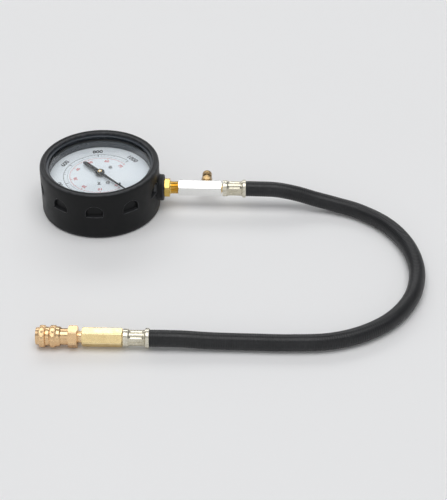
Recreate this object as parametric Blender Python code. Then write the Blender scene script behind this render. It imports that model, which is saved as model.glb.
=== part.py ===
"""Compression tester gauge: a pressure gauge in a rubber boot, a hex manifold with a bleed valve, a rubber
hose laid in a U on the surface, and a quick coupler at its far end.

Sizes below are in millimetres. The origin is the centre of the boot's back face, +Z out of the dial, and +X
along the stem towards the hose. Every piece that touches another keeps GAP to it.
"""

import math

import bmesh
import bpy
from mathutils import Matrix, Vector

MM = 0.001
GAP = 0.3

# Facets round a turned piece, a multiple of 6 where it has a hexagon
LARGE_SEGMENTS = 40
CASE_SEGMENTS = 32
FERRULE_SEGMENTS = 24
FITTING_SEGMENTS = 18
SMALL_SEGMENTS = 16
PIN_SEGMENTS = 12
SCREW_SEGMENTS = 10
SMOOTH_DEG = 32.0

# Gauge head: case, lens and boot
CASE_R = 41.0
CASE_WALL = 1.2
CASE_FLOOR = 1.2
CASE_EDGE = 0.8
LENS_THICK = 2.0
GASKET_THICK = 0.6
GASKET_WIDTH = 1.8
BEZEL_WALL = 1.1
BEZEL_FLANGE = 0.8
BEZEL_COVER = 1.9
BEZEL_DEPTH = 7.0
BOOT_WALL = 3.6
BOOT_FLOOR = 3.0
BOOT_LIP_THICK = 1.9
BOOT_LIP_COVER = 1.3
BOOT_EDGE = 1.6
RECESS_COUNT = 10
RECESS_WIDTH = 13.0
RECESS_HEIGHT = 9.2
RECESS_DEPTH = 2.5
RECESS_TOP_BELOW_RIM = 10.6
BOSS_WALL = 3.7
BOSS_REACH = 3.7
BOSS_EDGE = 0.8
PLUG_R = 4.7
PLUG_FLANGE = 1.6
PLUG_FLANGE_THICK = 1.2
PLUG_X = -22.0

# Stem and socket block
STEM_Z = 16.8
NECK_R = 6.5
FLATS_AF = 14.0
FLATS_LEN = 4.1
FLATS_CHAMFER = 0.7
THREAD_R = 5.1
THREAD_CHAMFER = 0.9
THREAD_SHOWN = 6.7
THREAD_ENGAGED = 6.9
STEM_BORE_R = 1.5
STEM_ROOT = 2.0
BLOCK_WIDTH = 14.0
BLOCK_ABOVE_AXIS = 6.0
BLOCK_FACE_WALL = 1.0
SHELF_ABOVE_AXIS = 0.4
SHELF_SHARE = 0.42
FOOT_SET_BACK = 0.4
CASE_SCREW_R = 1.6
CASE_SCREW_HEAD_R = 2.6
CASE_SCREW_HEAD = 1.25
CASE_SCREW_LEN = 5.0
CASE_SCREW_SPREAD = 7.6

# Dial and pointer
DIAL_THICK = 0.8
DIAL_BELOW_RIM = 12.6
DIAL_MARGIN = 0.5
DIAL_BORE_R = 1.6
SWEEP_DEG = 270.0
ZERO_ANGLE_DEG = -45.0
POINTER_THICK = 0.6
POINTER_RISE = 2.2
POINTER_MARGIN = 6.0
POINTER_TAIL_SHARE = 0.6
POINTER_TAIL_WIDTH = 3.4
POINTER_ROOT_WIDTH = 2.0
POINTER_TIP_WIDTH = 0.7
HUB_R = 3.6
HUB_THICK = 1.5
HUB_EDGE = 0.4
BUSH_R = 1.7
BUSH_HEIGHT = 3.0
BUSH_EDGE = 0.25
STOP_PIN_R = 0.55
STOP_PIN_BEYOND_TAIL = 2.0
DIAL_SCREW_R = 0.8
DIAL_SCREW_HEAD_R = 1.5
DIAL_SCREW_HEAD = 0.7

# Movement. Shares are of the distance between the pointer's axis and the sector's
PLATE_THICK = 1.0
PLATE_NOSE_SHARE = 0.44
PLATE_EAR_R = 3.0
MOVEMENT_ROOM = 6.8
PILLAR_R = 1.5
PILLAR_ALONG = 0.72
PILLAR_ACROSS = 0.69
DIAL_SCREW_ALONG = 0.39
DIAL_SCREW_ACROSS = 0.58
PINION_TEETH = 12
SECTOR_FULL_TEETH = 78
SECTOR_SPARE_TEETH = 2
SECTOR_TO_BLOCK = 1.3
GEAR_THICK = 1.2
GEAR_RISE = 1.8
TOOTH_SHARE = 0.40
TOOTH_ROOT_SHARE = 1.35
TOOTH_TIP_SHARE = 0.5
ARBOR_R = 0.9
ARBOR_EDGE = 0.3
PIVOT_R = 0.6
PIVOT_SET_IN = 0.2
SECTOR_HUB_R = 2.6
SECTOR_HUB_FROM_DEG = 105
SECTOR_HUB_TO_DEG = -155
TAIL_ROOT_DEG = 75
TAIL_EYE_DEG = 80
SECTOR_RIM = 2.4
SECTOR_WINDOW_SHARE = 0.33
SECTOR_SPOKE_DEG = 8.0
TAIL_LEN = 5.5
TAIL_EYE_R = 1.8
LINK_WIDTH = 3.0
LINK_THICK = 0.6
LINK_PIN_R = 0.6
LINK_PIN_HEAD_R = 1.3
LINK_PIN_HEAD = 0.5
LINK_PLAY = 0.4
HAIRSPRING_TURNS = 4
HAIRSPRING_START_R = 1.6
HAIRSPRING_THICK = 0.25
HAIRSPRING_HEIGHT = 0.8
STUD_R = 0.6
STUD_INSET = 1.5
MOVEMENT_SCREW_R = 0.9
MOVEMENT_SCREW_HEAD_R = 1.7
MOVEMENT_SCREW_HEAD = 0.8
MOVEMENT_SCREW_GRIP = 2.0
MOVEMENT_SCREW_INSET = 4.4
MOVEMENT_SCREW_SPREAD = 8.4
SCREW_SIDE_SHARE = 0.6
SCREW_TOP_SHARE = 0.7

# Bourdon tube
TUBE_MARGIN = 9.6
TUBE_WIDTH = 9.0
TUBE_THICK = 3.0
TUBE_WALL = 0.5
TUBE_END_DEG = 50.0
TUBE_SOCKET_DEPTH = 3.0
TUBE_STEPS = 20
TIP_LEN = 4.0
TIP_EYE_R = 2.2

# Manifold and bleed valve
MANIFOLD_AF = 12.0
MANIFOLD_LEN = 33.6
MANIFOLD_BORE_R = 2.0
HEX_CHAMFER = 0.9
HEX_FACE_SHARE = 0.97
VALVE_FROM_END = 11.9
VALVE_SHANK_R = 3.2
VALVE_HEX_AF = 9.0
VALVE_HEX_LEN = 3.15
VALVE_HEX_CHAMFER = 0.5
VALVE_BARREL_R = 4.2
VALVE_BARREL_LEN = 3.15
VALVE_BARREL_EDGE = 0.5
VALVE_CHAMBER_R = 3.0
VALVE_CHAMBER_DEPTH = 4.6
VALVE_SEAT_Y = 1.9
VALVE_POCKET_R = 2.4
VALVE_POCKET_Y = -3.4
VALVE_STEM_R = 1.2
VALVE_HEAD_R = 1.9
VALVE_HEAD = 0.8
VALVE_HEAD_EDGE = 0.2
VALVE_SEAL_THICK = 1.4
VALVE_TRAVEL = 1.7
CAP_R = 3.75
CAP_LEN = 5.4
CAP_EDGE = 1.0
VALVE_SPRING_R = 2.1
VALVE_SPRING_WIRE_R = 0.25
VALVE_SPRING_TURNS = 4
SPRING_STEPS = 12
SPRING_SIDES = 4

# Hose, its nipple and ferrules
HOSE_R = 6.0
HOSE_POINT_EVERY = 2.0
HOSE_BEVEL_STEPS = 3
NIPPLE_THREAD_R = 4.2
NIPPLE_THREAD_LEN = 7.0
NIPPLE_CHAMFER = 0.6
NIPPLE_SHANK_R = 3.2
NIPPLE_BORE_R = 1.5
BARB_R = 3.3
BARB_ROOT_R = 2.8
BARB_STEP = 0.3
BARB_COUNT = 3
FERRULE_FROM_FITTING = 0.9
FERRULE_LEN = 18.2
FERRULE_COLLAR_R = 6.25
FERRULE_COLLAR_LEN = 3.8
FERRULE_WAIST_R = 5.6
FERRULE_BEAD_R = 5.8
FERRULE_MOUTH_R = 7.0
FERRULE_MOUTH_LEN = 2.5
FERRULE_SLOPE = 1.0
FERRULE_STEP = 0.6
FLUTES = 8
FLUTE_DEPTH = 0.45

# Far fitting: its line on the surface, hex bar and quick coupler
FAR_Y = -169.0
FAR_MOUTH_X = 50.0
FAR_COLLAR_GAP = 0.45
BAR_AF = 12.0
BAR_LEN = 28.0
COUPLER_NECK_R = 4.2
COUPLER_NECK_LEN = 2.7
COUPLER_HEX_AF = 14.0
COUPLER_HEX_LEN = 6.4
COUPLER_REAR_R = 5.8
COUPLER_REAR_SHOWN = 5.4
COUPLER_REAR_HIDDEN = 3.1
COUPLER_BARREL_R = 4.9
COUPLER_SOCKET_R = 3.6
COUPLER_SOCKET_EDGE = 0.5
COUPLER_SOCKET_DEPTH = 17.0
COUPLER_NOSE_SET_BACK = 0.6
SLEEVE_R = 7.7
SLEEVE_GROOVE_R = 6.75
SLEEVE_LIP_R = 6.3
SLEEVE_LIP_WALL = 0.6
SLEEVE_LIP_LEN = 2.3
SLEEVE_RIB_LEN = 4.7
SLEEVE_GROOVE_LEN = 2.7
SLEEVE_TAIL_LEN = 2.8
SLEEVE_EDGE = 0.5
SLEEVE_CHAMBER_R = 6.1
SLEEVE_LAND_R = 5.2
SLEEVE_LAND_LEN = 4.0
SLEEVE_MOUTH_DEPTH = 2.6
SLEEVE_SPRING_WIRE_R = 0.3
SLEEVE_SPRING_TURNS = 4
RING_WIRE = 0.8
RING_OUT = 0.75
BALL_R = 1.15
BALL_COUNT = 4
BALL_REACH = 0.85
BALL_FROM_NOSE = 4.1
O_RING_R = 0.6
O_RING_FROM_FLOOR = 5.0
O_RING_SQUEEZE_SHARE = 0.75

# Heights, each stacked on the one below it
CASE_BACK_Z = BOOT_FLOOR + GAP
CASE_INNER_Z = CASE_BACK_Z + CASE_FLOOR
FOOT_Z = CASE_INNER_Z + GAP
BLOCK_BOTTOM_Z = (FOOT_Z + STEM_Z) / 2
BLOCK_TOP_Z = STEM_Z + BLOCK_ABOVE_AXIS
SHELF_Z = STEM_Z + SHELF_ABOVE_AXIS
BACK_PLATE_Z = SHELF_Z + GAP
BACK_PLATE_TOP_Z = BACK_PLATE_Z + PLATE_THICK
GEAR_Z = BACK_PLATE_TOP_Z + GEAR_RISE
GEAR_TOP_Z = GEAR_Z + GEAR_THICK
LINK_Z = max(GEAR_TOP_Z, STEM_Z + TUBE_WIDTH / 2) + GAP
LINK_TOP_Z = LINK_Z + LINK_THICK
FRONT_PLATE_Z = BACK_PLATE_TOP_Z + MOVEMENT_ROOM
FRONT_PLATE_TOP_Z = FRONT_PLATE_Z + PLATE_THICK
DIAL_BOTTOM_Z = FRONT_PLATE_TOP_Z + GAP
DIAL_TOP_Z = DIAL_BOTTOM_Z + DIAL_THICK
POINTER_Z = DIAL_TOP_Z + POINTER_RISE
BOOT_HEIGHT = DIAL_TOP_Z + DIAL_BELOW_RIM
BEZEL_TOP_Z = BOOT_HEIGHT - BOOT_LIP_THICK - GAP
LENS_TOP_Z = BEZEL_TOP_Z - BEZEL_FLANGE - GAP
LENS_BOTTOM_Z = LENS_TOP_Z - LENS_THICK
GASKET_TOP_Z = LENS_BOTTOM_Z - GAP
GASKET_BOTTOM_Z = GASKET_TOP_Z - GASKET_THICK
CASE_TOP_Z = GASKET_BOTTOM_Z - GAP

# Radii in the head
CASE_INNER_R = CASE_R - CASE_WALL
BEZEL_R = CASE_R + GAP + BEZEL_WALL
BOOT_CAVITY_R = BEZEL_R + GAP
BOOT_R = BOOT_CAVITY_R + BOOT_WALL
BOOT_MOUTH_R = BOOT_CAVITY_R - BOOT_LIP_COVER
BOSS_R = NECK_R + BOSS_WALL
STEM_HOLE_R = NECK_R + GAP
DIAL_R = CASE_INNER_R - DIAL_MARGIN
TUBE_R = CASE_INNER_R - TUBE_MARGIN
POINTER_LEN = DIAL_R - POINTER_MARGIN
POINTER_TAIL = POINTER_TAIL_SHARE * POINTER_LEN
STOP_PIN_AT = POINTER_TAIL + STOP_PIN_BEYOND_TAIL

# Places along the stem's line. The block's face lies a wall's thickness before the tube's pocket
TUBE_ENTRY = math.asin(BLOCK_WIDTH / 2 / TUBE_R)
BLOCK_X = (TUBE_R - TUBE_THICK / 2 - GAP) * math.cos(TUBE_ENTRY) - BLOCK_FACE_WALL
BLOCK_END_X = math.sqrt((CASE_INNER_R - GAP) ** 2 - (BLOCK_WIDTH / 2) ** 2)
FOOT_END_X = BLOCK_END_X - FOOT_SET_BACK
FLATS_X = BOOT_R + BOSS_REACH + GAP
THREAD_X = FLATS_X + FLATS_LEN
MANIFOLD_X = THREAD_X + THREAD_SHOWN
STEM_END_X = MANIFOLD_X + THREAD_ENGAGED
MANIFOLD_END_X = MANIFOLD_X + MANIFOLD_LEN
VALVE_X = MANIFOLD_END_X - VALVE_FROM_END
FERRULE_X = MANIFOLD_END_X + FERRULE_FROM_FITTING
FERRULE_BELL = FERRULE_LEN - FERRULE_MOUTH_LEN
HOSE_START_X = FERRULE_X + FERRULE_BELL + GAP

# Gear train: the tube's tip pulls the sector's tail, and the sector turns the pinion on the pointer's arbor
SECTOR_X = BLOCK_X - SECTOR_TO_BLOCK - TAIL_EYE_R - TAIL_LEN
GEAR_MODULE = 2 * SECTOR_X / (PINION_TEETH + SECTOR_FULL_TEETH)
PINION_PITCH_R = GEAR_MODULE * PINION_TEETH / 2
SECTOR_PITCH_R = GEAR_MODULE * SECTOR_FULL_TEETH / 2
ADDENDUM = 0.85 * GEAR_MODULE
DEDENDUM = 1.25 * GEAR_MODULE
SECTOR_TRAVEL_DEG = SWEEP_DEG * PINION_TEETH / SECTOR_FULL_TEETH
TAIL_DEG = -SECTOR_TRAVEL_DEG / 2
TAIL_OUT = TAIL_LEN * math.cos(math.radians(TAIL_DEG))
TAIL_EYE = (SECTOR_X + TAIL_OUT, TAIL_LEN * math.sin(math.radians(TAIL_DEG)))
LINK_X = SECTOR_X + (TAIL_LEN + TAIL_OUT) / 2
SHELF_X = SHELF_SHARE * SECTOR_X
STUD_X = STUD_INSET - PLATE_NOSE_SHARE * SECTOR_X
HAIRSPRING_END_R = -STUD_X - STUD_R - GAP - HAIRSPRING_THICK / 2
PLATE_NOSE_R = PLATE_NOSE_SHARE * SECTOR_X
PILLAR_X = PILLAR_ALONG * SECTOR_X
PILLAR_Y = PILLAR_ACROSS * SECTOR_X

# The tube's end, where its tip piece starts, and the eye in that piece
TUBE_OUT = Vector((math.cos(math.radians(TUBE_END_DEG)), math.sin(math.radians(TUBE_END_DEG)), 0))
TUBE_ONWARD = Vector((TUBE_OUT.y, -TUBE_OUT.x, 0))
TUBE_END = TUBE_OUT * TUBE_R
TIP_EYE = (LINK_X, (TUBE_END + TUBE_ONWARD * TIP_LEN).y)

# Screws and pins in pairs, as places in plan
CASE_SCREWS = [((BLOCK_X + FOOT_END_X) / 2, side * CASE_SCREW_SPREAD / 2) for side in (-1, 1)]
MOVEMENT_SCREWS = [(SHELF_X + MOVEMENT_SCREW_INSET, side * MOVEMENT_SCREW_SPREAD / 2) for side in (-1, 1)]
PILLARS = [(PILLAR_X, side * PILLAR_Y) for side in (-1, 1)]
DIAL_SCREWS = [(DIAL_SCREW_ALONG * SECTOR_X, side * DIAL_SCREW_ACROSS * SECTOR_X) for side in (-1, 1)]
STOP_PIN_ANGLE = math.radians(ZERO_ANGLE_DEG) + (POINTER_ROOT_WIDTH / 2 + GAP + STOP_PIN_R) / STOP_PIN_AT
STOP_PIN = (STOP_PIN_AT * math.cos(STOP_PIN_ANGLE), STOP_PIN_AT * math.sin(STOP_PIN_ANGLE))

# Places along the valve's line, from the manifold's axis
VALVE_FACE_Y = MANIFOLD_AF / 2 + GAP
VALVE_HEX_END_Y = VALVE_FACE_Y + VALVE_HEX_LEN
VALVE_TOP_Y = VALVE_HEX_END_Y + VALVE_BARREL_LEN
CHAMBER_Y = VALVE_TOP_Y - VALVE_CHAMBER_DEPTH
CAP_Y = VALVE_TOP_Y + VALVE_TRAVEL + GAP
CAP_END_Y = CAP_Y + CAP_LEN
SEAL_Y = VALVE_SEAT_Y - GAP - VALVE_SEAL_THICK

# Places along the far fitting, from the hose's end to the coupler's nose
FAR_Z = SLEEVE_R
FAR_COLLAR_X = FAR_MOUTH_X - FERRULE_LEN
FAR_BELL_X = FAR_MOUTH_X - FERRULE_MOUTH_LEN
BAR_END_X = FAR_COLLAR_X - FAR_COLLAR_GAP
BAR_X = BAR_END_X - BAR_LEN
NECK_END_X = BAR_X + NIPPLE_THREAD_LEN
COUPLER_HEX_END_X = BAR_X - GAP - COUPLER_NECK_LEN
COUPLER_HEX_X = COUPLER_HEX_END_X - COUPLER_HEX_LEN
SLEEVE_LEN = SLEEVE_LIP_LEN + 2 * SLEEVE_RIB_LEN + SLEEVE_GROOVE_LEN + SLEEVE_TAIL_LEN
SLEEVE_END_X = COUPLER_HEX_X - COUPLER_REAR_SHOWN
SLEEVE_X = SLEEVE_END_X - SLEEVE_LEN
SHOULDER_X = SLEEVE_END_X - COUPLER_REAR_HIDDEN
NOSE_X = SLEEVE_X + COUPLER_NOSE_SET_BACK
MOUTH_STEP_X = SLEEVE_X + SLEEVE_MOUTH_DEPTH
LAND_END_X = MOUTH_STEP_X + SLEEVE_LAND_LEN
RING_X = MOUTH_STEP_X - GAP - RING_WIRE
SPRING_MEAN_R = (COUPLER_BARREL_R + SLEEVE_CHAMBER_R) / 2
SOCKET_FLOOR_X = NOSE_X + COUPLER_SOCKET_DEPTH
BALL_X = NOSE_X + BALL_FROM_NOSE
BALL_CENTRE_R = COUPLER_SOCKET_R - BALL_REACH + BALL_R
O_RING_X = SOCKET_FLOOR_X - O_RING_FROM_FLOOR

# The hose's way over the surface, chosen by hand from the photograph
HOSE_ROUTE = [
    (HOSE_START_X, 0, STEM_Z),
    (124, 0, STEM_Z),
    (138, -0.1, STEM_Z - 0.5),
    (153, -0.7, 13.6),
    (168, -1.9, 9.6),
    (184, -5.4, 7.1),
    (203, -13.4, 6.2),
    (223, -30.5, 6.1),
    (236.5, -55, 6.1),
    (241.5, -84.5, 6.1),
    (236.5, -114, 6.1),
    (222, -139, 6.1),
    (201, -156.5, 6.1),
    (176, FAR_Y + 2.5, 6.1),
    (148, FAR_Y, 6.1),
    (118, FAR_Y, 6.1),
    (92, FAR_Y, 6.5),
    (72, FAR_Y, FAR_Z - 0.1),
    (FAR_BELL_X + GAP, FAR_Y, FAR_Z),
]

# Frames that carry a profile's own Z axis onto the axis a piece is turned about
UPRIGHT = Matrix.Identity(4)
ALONG_X = Matrix(((0, 0, 1, 0), (0, -1, 0, 0), (1, 0, 0, 0), (0, 0, 0, 1)))
ALONG_Y = Matrix(((1, 0, 0, 0), (0, 0, 1, 0), (0, -1, 0, 0), (0, 0, 0, 1)))
# A frame for a side view drawn in XZ and raised along Y
SIDE_VIEW = Matrix(((1, 0, 0, 0), (0, 0, 1, 0), (0, 1, 0, 0), (0, 0, 0, 1)))

# Where each moving piece's own origin sits, on its joint's line
SECTOR_RIDER = {"origin": (SECTOR_X, 0, GEAR_Z)}
POINTER_RIDER = {"origin": (0, 0, POINTER_Z)}
TIP_RIDER = {"origin": (*TIP_EYE, STEM_Z)}
VALVE_RIDER = {"origin": (VALVE_X, CAP_Y, STEM_Z)}
SLEEVE_RIDER = {"origin": (SLEEVE_X, FAR_Y, FAR_Z)}


def at(frame, x=0.0, y=0.0, z=0.0):
    """The frame moved to a place."""
    return Matrix.Translation((x, y, z)) @ frame


STEM_LINE = at(ALONG_X, z=STEM_Z)
FAR_LINE = at(ALONG_X, y=FAR_Y, z=FAR_Z)
VALVE_LINE = at(ALONG_Y, x=VALVE_X, z=STEM_Z)


def clear_scene():
    for obj in list(bpy.data.objects):
        bpy.data.objects.remove(obj)


def material(name, colour, metallic, roughness, alpha=1.0):
    made = bpy.data.materials.new(name)
    made.use_nodes = True
    shader = made.node_tree.nodes["Principled BSDF"]
    shader.inputs["Base Color"].default_value = (*colour, 1)
    shader.inputs["Metallic"].default_value = metallic
    shader.inputs["Roughness"].default_value = roughness
    shader.inputs["Alpha"].default_value = alpha
    return made


def finish_object(name, bm, look, origin=(0, 0, 0)):
    """Makes the object from a mesh in millimetres, with its own origin at the given place."""
    bmesh.ops.recalc_face_normals(bm, faces=bm.faces)
    bmesh.ops.translate(bm, verts=bm.verts, vec=-Vector(origin))
    bmesh.ops.scale(bm, verts=bm.verts, vec=(MM, MM, MM))
    mesh = bpy.data.meshes.new(name)
    bm.to_mesh(mesh)
    bm.free()
    mesh.shade_smooth()
    mesh.set_sharp_from_angle(angle=math.radians(SMOOTH_DEG))
    obj = bpy.data.objects.new(name, mesh)
    bpy.context.scene.collection.objects.link(obj)
    obj.location = Vector(origin) * MM
    if look:
        mesh.materials.append(look)
    return obj


def boolean(obj, helper, operation):
    """Joins or cuts with a hidden helper object."""
    helper.hide_render = True
    helper.display_type = "WIRE"
    helper.parent = obj
    helper.location -= obj.location
    step = obj.modifiers.new(operation.title(), "BOOLEAN")
    step.operation = operation
    step.solver = "EXACT"
    step.object = helper


def turned(bm, frame, stations, segments):
    """A skin through rings of (place along the axis, radius), where a radius may be a function of the angle.

    A radius of 0 closes the skin at a point. With none, the last ring joins the first, which leaves a bore.
    """
    rings = []
    for along, shape in stations:
        if shape == 0:
            rings.append([bm.verts.new(frame @ Vector((0, 0, along)))])
            continue
        ring = []
        for step in range(segments):
            angle = math.tau * step / segments
            r = shape(angle) if callable(shape) else shape
            ring.append(bm.verts.new(frame @ Vector((r * math.cos(angle), r * math.sin(angle), along))))
        rings.append(ring)
    pairs = list(zip(rings, rings[1:]))
    if len(rings[0]) > 1:
        pairs.append((rings[-1], rings[0]))
    for low, high in pairs:
        for step in range(segments):
            after = (step + 1) % segments
            corners = [low[step % len(low)], low[after % len(low)]]
            corners += [high[after % len(high)], high[step % len(high)]]
            bm.faces.new(list(dict.fromkeys(corners)))


def turned_object(name, frame, stations, segments, look, **place):
    bm = bmesh.new()
    turned(bm, frame, stations, segments)
    return finish_object(name, bm, look, **place)


def solid(stations):
    """Closes a solid profile on its axis at both ends."""
    return [(stations[0][0], 0), *stations, (stations[-1][0], 0)]


def rod(bm, frame, start, end, r, segments):
    """A plain round rod, for holes and pins."""
    turned(bm, frame, solid([(start, r), (end, r)]), segments)


def rod_object(name, frame, start, end, r, segments, look):
    return turned_object(name, frame, solid([(start, r), (end, r)]), segments, look)


def hexagon(across_flats, corner_deg):
    """The radius of a hexagon, as a function of the angle, with a corner at corner_deg."""
    side_deg = 360 / 6

    def shape(angle):
        from_flat = (math.degrees(angle) - corner_deg) % side_deg - side_deg / 2
        return across_flats / 2 / math.cos(math.radians(from_flat))

    return shape


def hex_stations(start, end, across_flats, corner_deg, chamfer):
    """A hexagon's outer rings, with both ends turned down to the circle inside it."""
    face = across_flats / 2 * HEX_FACE_SHARE
    shape = hexagon(across_flats, corner_deg)
    return [(start, face), (start + chamfer, shape), (end - chamfer, shape), (end, face)]


def extruded(bm, frame, loops, low, high):
    """A flat plate from an outline and the outlines of its holes, as lists of (x, y)."""
    edges = []
    for loop in loops:
        points = [bm.verts.new(frame @ Vector((x, y, low))) for x, y in loop]
        edges += [bm.edges.new(pair) for pair in zip(points, points[1:] + points[:1])]
    filled = bmesh.ops.triangle_fill(bm, use_beauty=True, use_dissolve=False, edges=edges)
    faces = [item for item in filled["geom"] if isinstance(item, bmesh.types.BMFace)]
    raised = bmesh.ops.extrude_face_region(bm, geom=faces, use_keep_orig=True)
    moved = [item for item in raised["geom"] if isinstance(item, bmesh.types.BMVert)]
    rise = (frame.to_3x3() @ Vector((0, 0, 1))) * (high - low)
    bmesh.ops.translate(bm, verts=moved, vec=rise)


def extruded_object(name, frame, loops, low, high, look, **place):
    bm = bmesh.new()
    extruded(bm, frame, loops, low, high)
    return finish_object(name, bm, look, **place)


def circle(x, y, r, count=PIN_SEGMENTS):
    return [
        (x + r * math.cos(math.tau * step / count), y + r * math.sin(math.tau * step / count))
        for step in range(count)
    ]


def arc(x, y, r, start_deg, end_deg, count):
    angles = [math.radians(start_deg + (end_deg - start_deg) * step / count) for step in range(count + 1)]
    return [(x + r * math.cos(angle), y + r * math.sin(angle)) for angle in angles]


def hull(points):
    """The outline round a set of points, as if a band were pulled tight over them."""
    ordered = sorted({(round(x, 6), round(y, 6)) for x, y in points})

    def half(points):
        kept = []
        for point in points:
            while len(kept) > 1:
                (ax, ay), (bx, by) = kept[-2], kept[-1]
                if (bx - ax) * (point[1] - ay) - (by - ay) * (point[0] - ax) > 1e-9:
                    break
                kept.pop()
            kept.append(point)
        return kept[:-1]

    return half(ordered) + half(ordered[::-1])


def swept(bm, frames, outline, inner=None):
    """A skin that carries an outline of (u, v) through frames of (centre, u axis, v axis), with flat ends."""

    def skin(shape):
        rings = [[bm.verts.new(o + u * a + v * b) for a, b in shape] for o, u, v in frames]
        count = len(shape)
        for low, high in zip(rings, rings[1:]):
            for step in range(count):
                after = (step + 1) % count
                bm.faces.new((low[step], low[after], high[after], high[step]))
        return rings

    outer_rings = skin(outline)
    if inner is None:
        bm.faces.new(outer_rings[0][::-1])
        bm.faces.new(outer_rings[-1])
        return
    inner_rings = skin(inner)
    for end in (0, -1):
        for step in range(len(outline)):
            after = (step + 1) % len(outline)
            corners = (outer_rings[end][step], outer_rings[end][after])
            bm.faces.new((*corners, inner_rings[end][after], inner_rings[end][step]))


def flat_frame(angle, r, z):
    """A frame for swept() on a circle about +Z: its centre, the way out and the way up."""
    out = Vector((math.cos(angle), math.sin(angle), 0))
    return out * r + Vector((0, 0, z)), out, Vector((0, 0, 1))


def helix_object(name, frame, mean_r, wire_r, start, end, turns, look):
    """A coil spring between two planes across the frame's axis."""
    steps = SPRING_STEPS * turns
    frames = []
    for step in range(steps + 1):
        along = start + wire_r + (end - start - 2 * wire_r) * step / steps
        centre, out, up = flat_frame(math.tau * turns * step / steps, mean_r, along)
        frames.append((frame @ centre, frame.to_3x3() @ out, frame.to_3x3() @ up))
    bm = bmesh.new()
    swept(bm, frames, circle(0, 0, wire_r, SPRING_SIDES))
    return finish_object(name, bm, look)


clear_scene()

RUBBER = material("rubber", (0.014, 0.015, 0.017), 0.0, 0.55)
HOSE_RUBBER = material("hose_rubber", (0.012, 0.012, 0.014), 0.0, 0.5)
CASE_BLACK = material("case_black", (0.05, 0.055, 0.065), 0.2, 0.4)
LENS_CLEAR = material("lens_clear", (0.9, 0.95, 0.97), 0.0, 0.05, 0.15)
DIAL_WHITE = material("dial_white", (0.85, 0.87, 0.88), 0.0, 0.4)
POINTER_BLACK = material("pointer_black", (0.01, 0.01, 0.01), 0.0, 0.35)
BRASS = material("brass", (0.80, 0.56, 0.24), 1.0, 0.25)
PHOSPHOR = material("phosphor_bronze", (0.62, 0.36, 0.18), 1.0, 0.3)
NICKEL = material("nickel", (0.86, 0.86, 0.84), 1.0, 0.16)
FERRULE_NICKEL = material("ferrule_nickel", (0.74, 0.72, 0.62), 1.0, 0.28)
STEEL = material("steel", (0.60, 0.61, 0.62), 1.0, 0.25)
SEAL_RUBBER = material("seal_rubber", (0.02, 0.02, 0.02), 0.0, 0.6)


# Gauge head


def make_boot():
    """A cup with a lip over the bezel, arched grip recesses round it and a boss for the stem."""
    lip_z = BOOT_HEIGHT - BOOT_LIP_THICK
    stations = [
        (0, BOOT_R - BOOT_EDGE),
        (BOOT_EDGE, BOOT_R),
        (BOOT_HEIGHT - BOOT_EDGE, BOOT_R),
        (BOOT_HEIGHT, BOOT_R - BOOT_EDGE),
        (BOOT_HEIGHT, BOOT_MOUTH_R),
        (lip_z, BOOT_MOUTH_R),
        (lip_z, BOOT_CAVITY_R),
        (BOOT_FLOOR, BOOT_CAVITY_R),
    ]
    boot = turned_object(
        "boot", UPRIGHT, [(0, 0), *stations, (BOOT_FLOOR, 0)], LARGE_SEGMENTS, RUBBER
    )
    boss_end = BOOT_R + BOSS_REACH
    boss = [
        (BOOT_CAVITY_R + BOOT_WALL / 2, BOSS_R),
        (boss_end - BOSS_EDGE, BOSS_R),
        (boss_end, BOSS_R - BOSS_EDGE),
    ]
    boolean(boot, turned_object("boot_boss_form", STEM_LINE, solid(boss), FERRULE_SEGMENTS, None), "UNION")

    arch_base = BOOT_HEIGHT - RECESS_TOP_BELOW_RIM - RECESS_HEIGHT
    half_width = RECESS_WIDTH / 2
    arch = [(arch_base, -half_width), (arch_base, half_width)]
    arch += arc(arch_base + RECESS_HEIGHT - half_width, 0, half_width, 90, -90, 6)
    cuts = bmesh.new()
    for number in range(RECESS_COUNT):
        turn = Matrix.Rotation(math.tau * (number + 0.5) / RECESS_COUNT, 4, "Z")
        extruded(cuts, turn @ ALONG_X, [arch], BOOT_R - RECESS_DEPTH, BOOT_R + BOOT_WALL)
    rod(cuts, STEM_LINE, BOOT_CAVITY_R - BOOT_WALL, boss_end + BOSS_EDGE, STEM_HOLE_R, FERRULE_SEGMENTS)
    for x, y in CASE_SCREWS:
        low = CASE_BACK_Z - CASE_SCREW_HEAD - 1.5 * GAP
        rod(cuts, at(UPRIGHT, x, y), low, CASE_INNER_Z, CASE_SCREW_HEAD_R + GAP, PIN_SEGMENTS)
    boolean(boot, finish_object("boot_cuts", cuts, None), "DIFFERENCE")


def make_case():
    """The steel cup, with holes for the stem, the relief plug and the two screws into the socket block."""
    stations = [
        (CASE_BACK_Z, 0),
        (CASE_BACK_Z, CASE_R - CASE_EDGE),
        (CASE_BACK_Z + CASE_EDGE, CASE_R),
        (CASE_TOP_Z, CASE_R),
        (CASE_TOP_Z, CASE_INNER_R),
        (CASE_INNER_Z, CASE_INNER_R),
        (CASE_INNER_Z, 0),
    ]
    case = turned_object("gauge_case", UPRIGHT, stations, CASE_SEGMENTS, CASE_BLACK)
    cuts = bmesh.new()
    inside, outside = CASE_INNER_R - 2 * CASE_WALL, CASE_R + 2 * CASE_WALL
    rod(cuts, STEM_LINE, inside, outside, STEM_HOLE_R, FERRULE_SEGMENTS)
    below, above = CASE_BACK_Z - CASE_FLOOR, CASE_INNER_Z + CASE_FLOOR
    for x, y in CASE_SCREWS:
        rod(cuts, at(UPRIGHT, x, y), below, above, CASE_SCREW_R + GAP, PIN_SEGMENTS)
    rod(cuts, at(UPRIGHT, PLUG_X), below, above, PLUG_R + GAP, SMALL_SEGMENTS)
    boolean(case, finish_object("case_cuts", cuts, None), "DIFFERENCE")


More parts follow.
